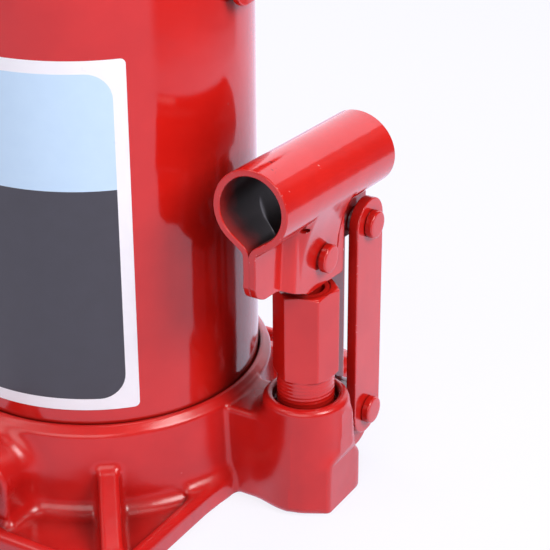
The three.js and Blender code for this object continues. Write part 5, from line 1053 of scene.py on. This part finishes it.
def drop_at(at):
    """How far below the tube's axis the sheet ends."""
    if at <= CLEVIS_REAR:
        return eased(NOSE_LINE, at, 1)
    if at >= NECK_FRONT:
        return eased(NECK_LINE, at, 0.8)
    window = [(CLEVIS_REAR, CLEVIS_DROP), (CLEVIS_REAR + WINDOW_STEP, WINDOW_DROP),
              (NECK_FRONT - WINDOW_STEP, WINDOW_DROP), (NECK_FRONT, NECK_DROP)]
    return float(np.interp(at, *zip(*window)))


def gap_at(at):
    """Half the room between the sheet's two edges: none in the nose, wide in the clevis."""
    opened = smooth_step(np.clip((at - CLEVIS_FRONT) / CLEVIS_OPENS, 0, 1))
    shut = smooth_step(np.clip((CLEVIS_SHUT - at) / CLEVIS_SHUTS, 0, 1))
    return PINCH + (CLEVIS - PINCH) * min(opened, shut)


def lean_at(at):
    """How far to the rear the sheet's lower edge is drawn."""
    return float(np.interp(at, *zip(*LEAN_LINE)))


def knee_at(at):
    """The radius of the bend between tube and cheek, which is slack over the clevis."""
    share = float(np.interp(at, *zip(*SLACK_LINE)))
    return KNEE * (CLEVIS_KNEE / KNEE) ** smooth_step(share)


def slant_at(at, z):
    """How far the sheet's ends stand off square: the tube was sheared, not sawn."""
    share = float(np.clip((at - SHEAR_FROM) / (SOCKET_REAR - SHEAR_FROM), 0, 1))
    return -SHEAR * (z + SHEAR_LEVEL) * share


def outer_skin(at):
    """The outside of the sheet across the tube, from the right edge over the top to the
    left one, as points with their normals."""
    gap, drop, bow = gap_at(at), drop_at(at), knee_at(at)
    face = gap + SHEET
    touching = math.asin((face + bow) / (TUBE_RADIUS + bow))
    flare = max(math.radians(FLARE), touching)
    run = (TUBE_RADIUS * math.sin(flare) - face) / math.cos(flare)
    corner = -TUBE_RADIUS * math.cos(flare) - run * math.sin(flare)
    bend = math.pi / 2 - flare
    knee = corner - bow * math.tan(bend / 2)
    foot = -drop + TIP_ROUND
    line = [(face, foot + (knee - foot) * share, 1, 0) for share in (0, 0.25, 0.5, 0.75, 1)]
    for turn in np.linspace(0, bend, 7)[1:]:
        n = (math.cos(turn), -math.sin(turn))
        line.append((face + bow * (1 - n[0]), knee - bow * n[1], *n))
    for turn in np.linspace(flare, math.pi, 37):
        n = (math.sin(turn), -math.cos(turn))
        line.append((TUBE_RADIUS * n[0], TUBE_RADIUS * n[1], *n))
    return line + [(-x, z, -nx, nz) for x, z, nx, nz in line[-2::-1]]


def section(at, inset):
    """The closed outline of the sheet across the tube, its skins drawn in by inset."""
    gap, drop, lean = gap_at(at), drop_at(at), lean_at(at)
    line = outer_skin(at)
    outer = [(x - inset * nx, z - inset * nz) for x, z, nx, nz in line]
    inner = []
    for x, z, nx, nz in line:
        # the seam below the tube is filled with paint, so its edges aren't rounded
        soft = inset * float(np.clip((z + TUBE_RADIUS + 3) / 3, 0, 1))
        inner.append((x - (SHEET - soft) * nx, z - (SHEET - soft) * nz))
    face, low, part = gap + SHEET, -drop + inset, 0.3 * TIP_ROUND
    tip = [(face - part - inset, low + part), (face - TIP_ROUND, low),
           (gap + TIP_ROUND, low), (gap + part, low + part)]
    loop = outer + [(-x, z) for x, z in tip] + inner[::-1] + tip[::-1]
    placed = []
    for x, z in loop:
        below = max(0, -z - TUBE_RADIUS) / (drop - TUBE_RADIUS)
        placed.append((x, at + lean * min(1, 1.5 * below) + slant_at(at, z), z))
    return placed


def end_cap(wide, first):
    """The faces over the sheet's edge at one end, for skins of wide points each and a loop
    whose points count from first."""
    caps = [[k, k + 1, 2 * wide + 2 - k, 2 * wide + 3 - k] for k in range(wide - 1)]
    caps += [list(range(wide - 1, wide + 5)), [*range(2 * wide + 3, 2 * wide + 8), 0]]
    return [[first + k for k in cap] for cap in caps]


stations = list(np.arange(SOCKET_FRONT + 0.6, SOCKET_REAR - 0.6, 0.8))
stations += [CLEVIS_REAR, CLEVIS_REAR + 0.15, CLEVIS_REAR + WINDOW_STEP,
             NECK_FRONT - WINDOW_STEP, NECK_FRONT, NOSE_LINE[1][0]]
stations = sorted({round(float(s), 3) for s in stations})
loops = [section(SOCKET_FRONT + depth, inset) for depth, inset in END_EDGES]
loops += [section(s, 0) for s in stations]
loops += [section(SOCKET_REAR - depth, inset) for depth, inset in END_EDGES[::-1]]
points, faces = skin(loops)
count = len(loops[0])
wide = count // 2 - TIP_POINTS
faces += [cap[::-1] for cap in end_cap(wide, 0)] + end_cap(wide, (len(loops) - 1) * count)
place = Matrix.Translation((PUMP_X, 0, SOCKET_Z)) @ Matrix.Rotation(
    -math.radians(SOCKET_TILT), 4, "X")
socket = show("socket", points, [face[::-1] for face in faces],
              [SOCKET_ENAMEL, SOCKET_INSIDE], "socket", "red_enamel", ["handle_socket"], place)
inner_skin = range(wide + TIP_POINTS, 2 * wide + TIP_POINTS)
for polygon in socket.data.polygons:
    row = min(polygon.vertices) // count
    within = all(v % count in inner_skin for v in polygon.vertices)
    if within and MOUTH_ROWS <= row < len(loops) - 1 - MOUTH_ROWS:
        polygon.material_index = 1

# the notch is a short cut with round ends in the bend over the clevis
notch, notch_faces = rod(NOTCH, 24)
cut_away(socket, [
    (moved(notch, faced(NOTCH_LIE, NOTCH_AT)), notch_faces),
    drill(0, PIN_Z, PIN_HOLE, -9, 9),
    drill(LINK_Y, LINK_TOP, PIN_HOLE, -7, 7),
    # and room beside the neck for the links' round ends
    drill(LINK_Y, LINK_TOP, LINK_HALF + LINK_ROOM, LINK_INNER - LINK_ROOM,
          LINK_OUTER + LINK_ROOM),
    drill(LINK_Y, LINK_TOP, LINK_HALF + LINK_ROOM, -LINK_OUTER - LINK_ROOM,
          -LINK_INNER + LINK_ROOM),
])


# Camera, light and floor

LENS, SENSOR, ROLL = 130.25, 36, -0.288
CAMERA_AT, CAMERA_LOOK = (418.4, -562.3, 436.6), (-0.4546, 0.7596, -0.4653)
BACKGROUND = linear("#f8f8ff")
OPEN_FROM, OPEN_TO, OPEN_EDGE = -0.2, 1.1, 0.05  # the table's open, dark side, from +X
# how bright the room is: to matt things, to gloss, and to gloss over the open side
ROOM_MATT, ROOM_GLOSS, ROOM_OPEN = 0.1, 0.38, 0.1
# the paper, centred TABLE_X metres to the pump's side: how far out it grows plain, where
# its open side starts, and how bright the eye, the shadow and the gloss find it
TABLE_X, GROWS_PLAIN, SIDE_STARTS = 0.03, (0.35, 0.9), (0.42, 0.56)
PAPER_LIT, PAPER_SHADED, PAPER_GLOSS = (0.86, 1), (0.17, 0), (1.05, 0.14)
GLOSS_HUE = (1, 0.95, 1.2, 1)

camera_data = bpy.data.cameras.new("camera")
camera_data.lens, camera_data.sensor_width = LENS, SENSOR
camera_data.clip_start, camera_data.clip_end = 0.05, 20
camera = bpy.data.objects.new("camera", camera_data)
bpy.context.scene.collection.objects.link(camera)
camera.location = Vector(CAMERA_AT) * MM
camera.rotation_mode = "QUATERNION"
look = Vector(CAMERA_LOOK).to_track_quat("-Z", "Y")
camera.rotation_quaternion = look @ Quaternion((0, 0, 1), math.radians(ROLL))
bpy.context.scene.camera = camera


def softbox(name, place, aim, size, power, colour=(1, 1, 1)):
    data = bpy.data.lights.new(name, "AREA")
    data.shape, data.size, data.size_y, data.energy = "RECTANGLE", size[0], size[1], power
    data.color = colour
    lamp = bpy.data.objects.new(name, data)
    bpy.context.scene.collection.objects.link(lamp)
    lamp.location = place
    lamp.rotation_mode = "QUATERNION"
    lamp.rotation_quaternion = (Vector(aim) - Vector(place)).to_track_quat("-Z", "Y")


TANK_MIDDLE = (0, 0, 0.1)
softbox("right_softbox", (0.93, -0.06, 0.84), TANK_MIDDLE, (0.45, 0.55), 10.5)
softbox("front_softbox", (0.32, -1.10, 0.80), TANK_MIDDLE, (1.2, 0.8), 7.5)
softbox("left_softbox", (-0.50, -0.59, 1.02), TANK_MIDDLE, (0.5, 0.6), 2.2)
softbox("top_softbox", (0.10, 0.15, 1.30), TANK_MIDDLE, (0.6, 0.6), 3)
softbox("rear_softbox", (-1.10, 0.32, 0.80), (0, 0, 0.12), (0.9, 0.7), 6)
softbox("back_panel", (-0.19, 1.09, 0.45), (0, 0, 0.15), (1.25, 0.85), 4.6, (0.92, 0.86, 1))


def open_side(tree, point, shift):
    """How far a point lies towards the open side of the table, from 0 to 1."""
    parts = add(tree, "SeparateXYZ", {"Vector": point}).outputs
    angle = reckon(tree, "ARCTAN2", parts["Y"], reckon(tree, "ADD", parts["X"], -shift))
    after = ramp(tree, angle, OPEN_FROM - OPEN_EDGE, OPEN_FROM + OPEN_EDGE)
    before = ramp(tree, angle, OPEN_TO + OPEN_EDGE, OPEN_TO - OPEN_EDGE)
    return reckon(tree, "MULTIPLY", after, before)


def studio_room():
    """A room that the camera sees as white and glossy paint as dim, darkest over the open
    side of the table, to the right of the camera."""
    world = bpy.data.worlds.new("studio")
    world.use_nodes = True
    tree = world.node_tree
    rays = add(tree, "LightPath").outputs
    plain = reckon(tree, "MAXIMUM", rays["Is Camera Ray"], rays["Is Transmission Ray"])
    shade = open_side(tree, add(tree, "TexCoord").outputs["Generated"], 0)
    gloss = ramp(tree, shade, 0, 1, ROOM_GLOSS, ROOM_OPEN)
    room = between(tree, rays["Is Glossy Ray"], ROOM_MATT, gloss)
    wire(tree, tree.nodes["Background"], {
        "Color": BACKGROUND, "Strength": between(tree, plain, room, 1)})
    return world


def white_paper():
    """White paper that keeps the jack's shadow near by and is plain further out. Glossy
    paint sees it bright, and dark beyond the edge of the open side."""
    made = bpy.data.materials.new("white_paper_sweep")
    made.use_nodes = True
    tree = made.node_tree
    tree.nodes.clear()
    rays = add(tree, "LightPath").outputs
    spot = add(tree, "TexCoord").outputs["Object"]
    off = add(tree, "VectorMath", {0: spot, 1: (-TABLE_X, 0, 0)}, operation="ADD").outputs[0]
    reach = add(tree, "VectorMath", {0: off}, operation="LENGTH").outputs["Value"]
    far = ramp(tree, reach, *GROWS_PLAIN, interpolation_type="SMOOTHSTEP")
    side = ramp(tree, reach, *SIDE_STARTS, interpolation_type="SMOOTHSTEP")
    side = reckon(tree, "MULTIPLY", side, open_side(tree, spot, TABLE_X))
    lit = between(tree, rays["Is Glossy Ray"], ramp(tree, far, 0, 1, *PAPER_LIT),
                  ramp(tree, side, 0, 1, *PAPER_GLOSS))
    # glossy paint shows the white table a little violet, as its own red hides the warm part
    hue = mix(tree, rays["Is Glossy Ray"], BACKGROUND, GLOSS_HUE)
    glow = add(tree, "Emission", {"Color": hue, "Strength": lit}).outputs[0]
    paper = add(tree, "BsdfDiffuse", {"Color": linear("#f4f3fa")}).outputs[0]
    black = add(tree, "BsdfDiffuse", {"Color": (0, 0, 0, 1)}).outputs[0]
    shaded = ramp(tree, far, 0, 1, *PAPER_SHADED)
    shaded = add(tree, "MixShader", {0: shaded, 1: black, 2: paper}).outputs[0]
    shown = add(tree, "AddShader", {0: glow, 1: shaded}).outputs[0]
    # what the paper throws back on the jack is an ordinary diffuse bounce
    seen = reckon(tree, "MAXIMUM", rays["Is Camera Ray"], rays["Is Glossy Ray"])
    bounce = add(tree, "BsdfDiffuse", {"Color": linear("#bdbcc6")}).outputs[0]
    choice = add(tree, "MixShader", {0: seen, 1: bounce, 2: shown}).outputs[0]
    add(tree, "OutputMaterial", {"Surface": choice})
    return made


bpy.context.scene.world = studio_room()
floor_mesh = bpy.data.meshes.new("floor")
floor_mesh.from_pydata([(-3, -3, 0), (3, -3, 0), (3, 3, 0), (-3, 3, 0)], [], [(0, 1, 2, 3)])
floor_mesh.materials.append(white_paper())
floor = bpy.data.objects.new("floor", floor_mesh)
bpy.context.scene.collection.objects.link(floor)

bpy.context.scene.view_settings.view_transform = "Standard"
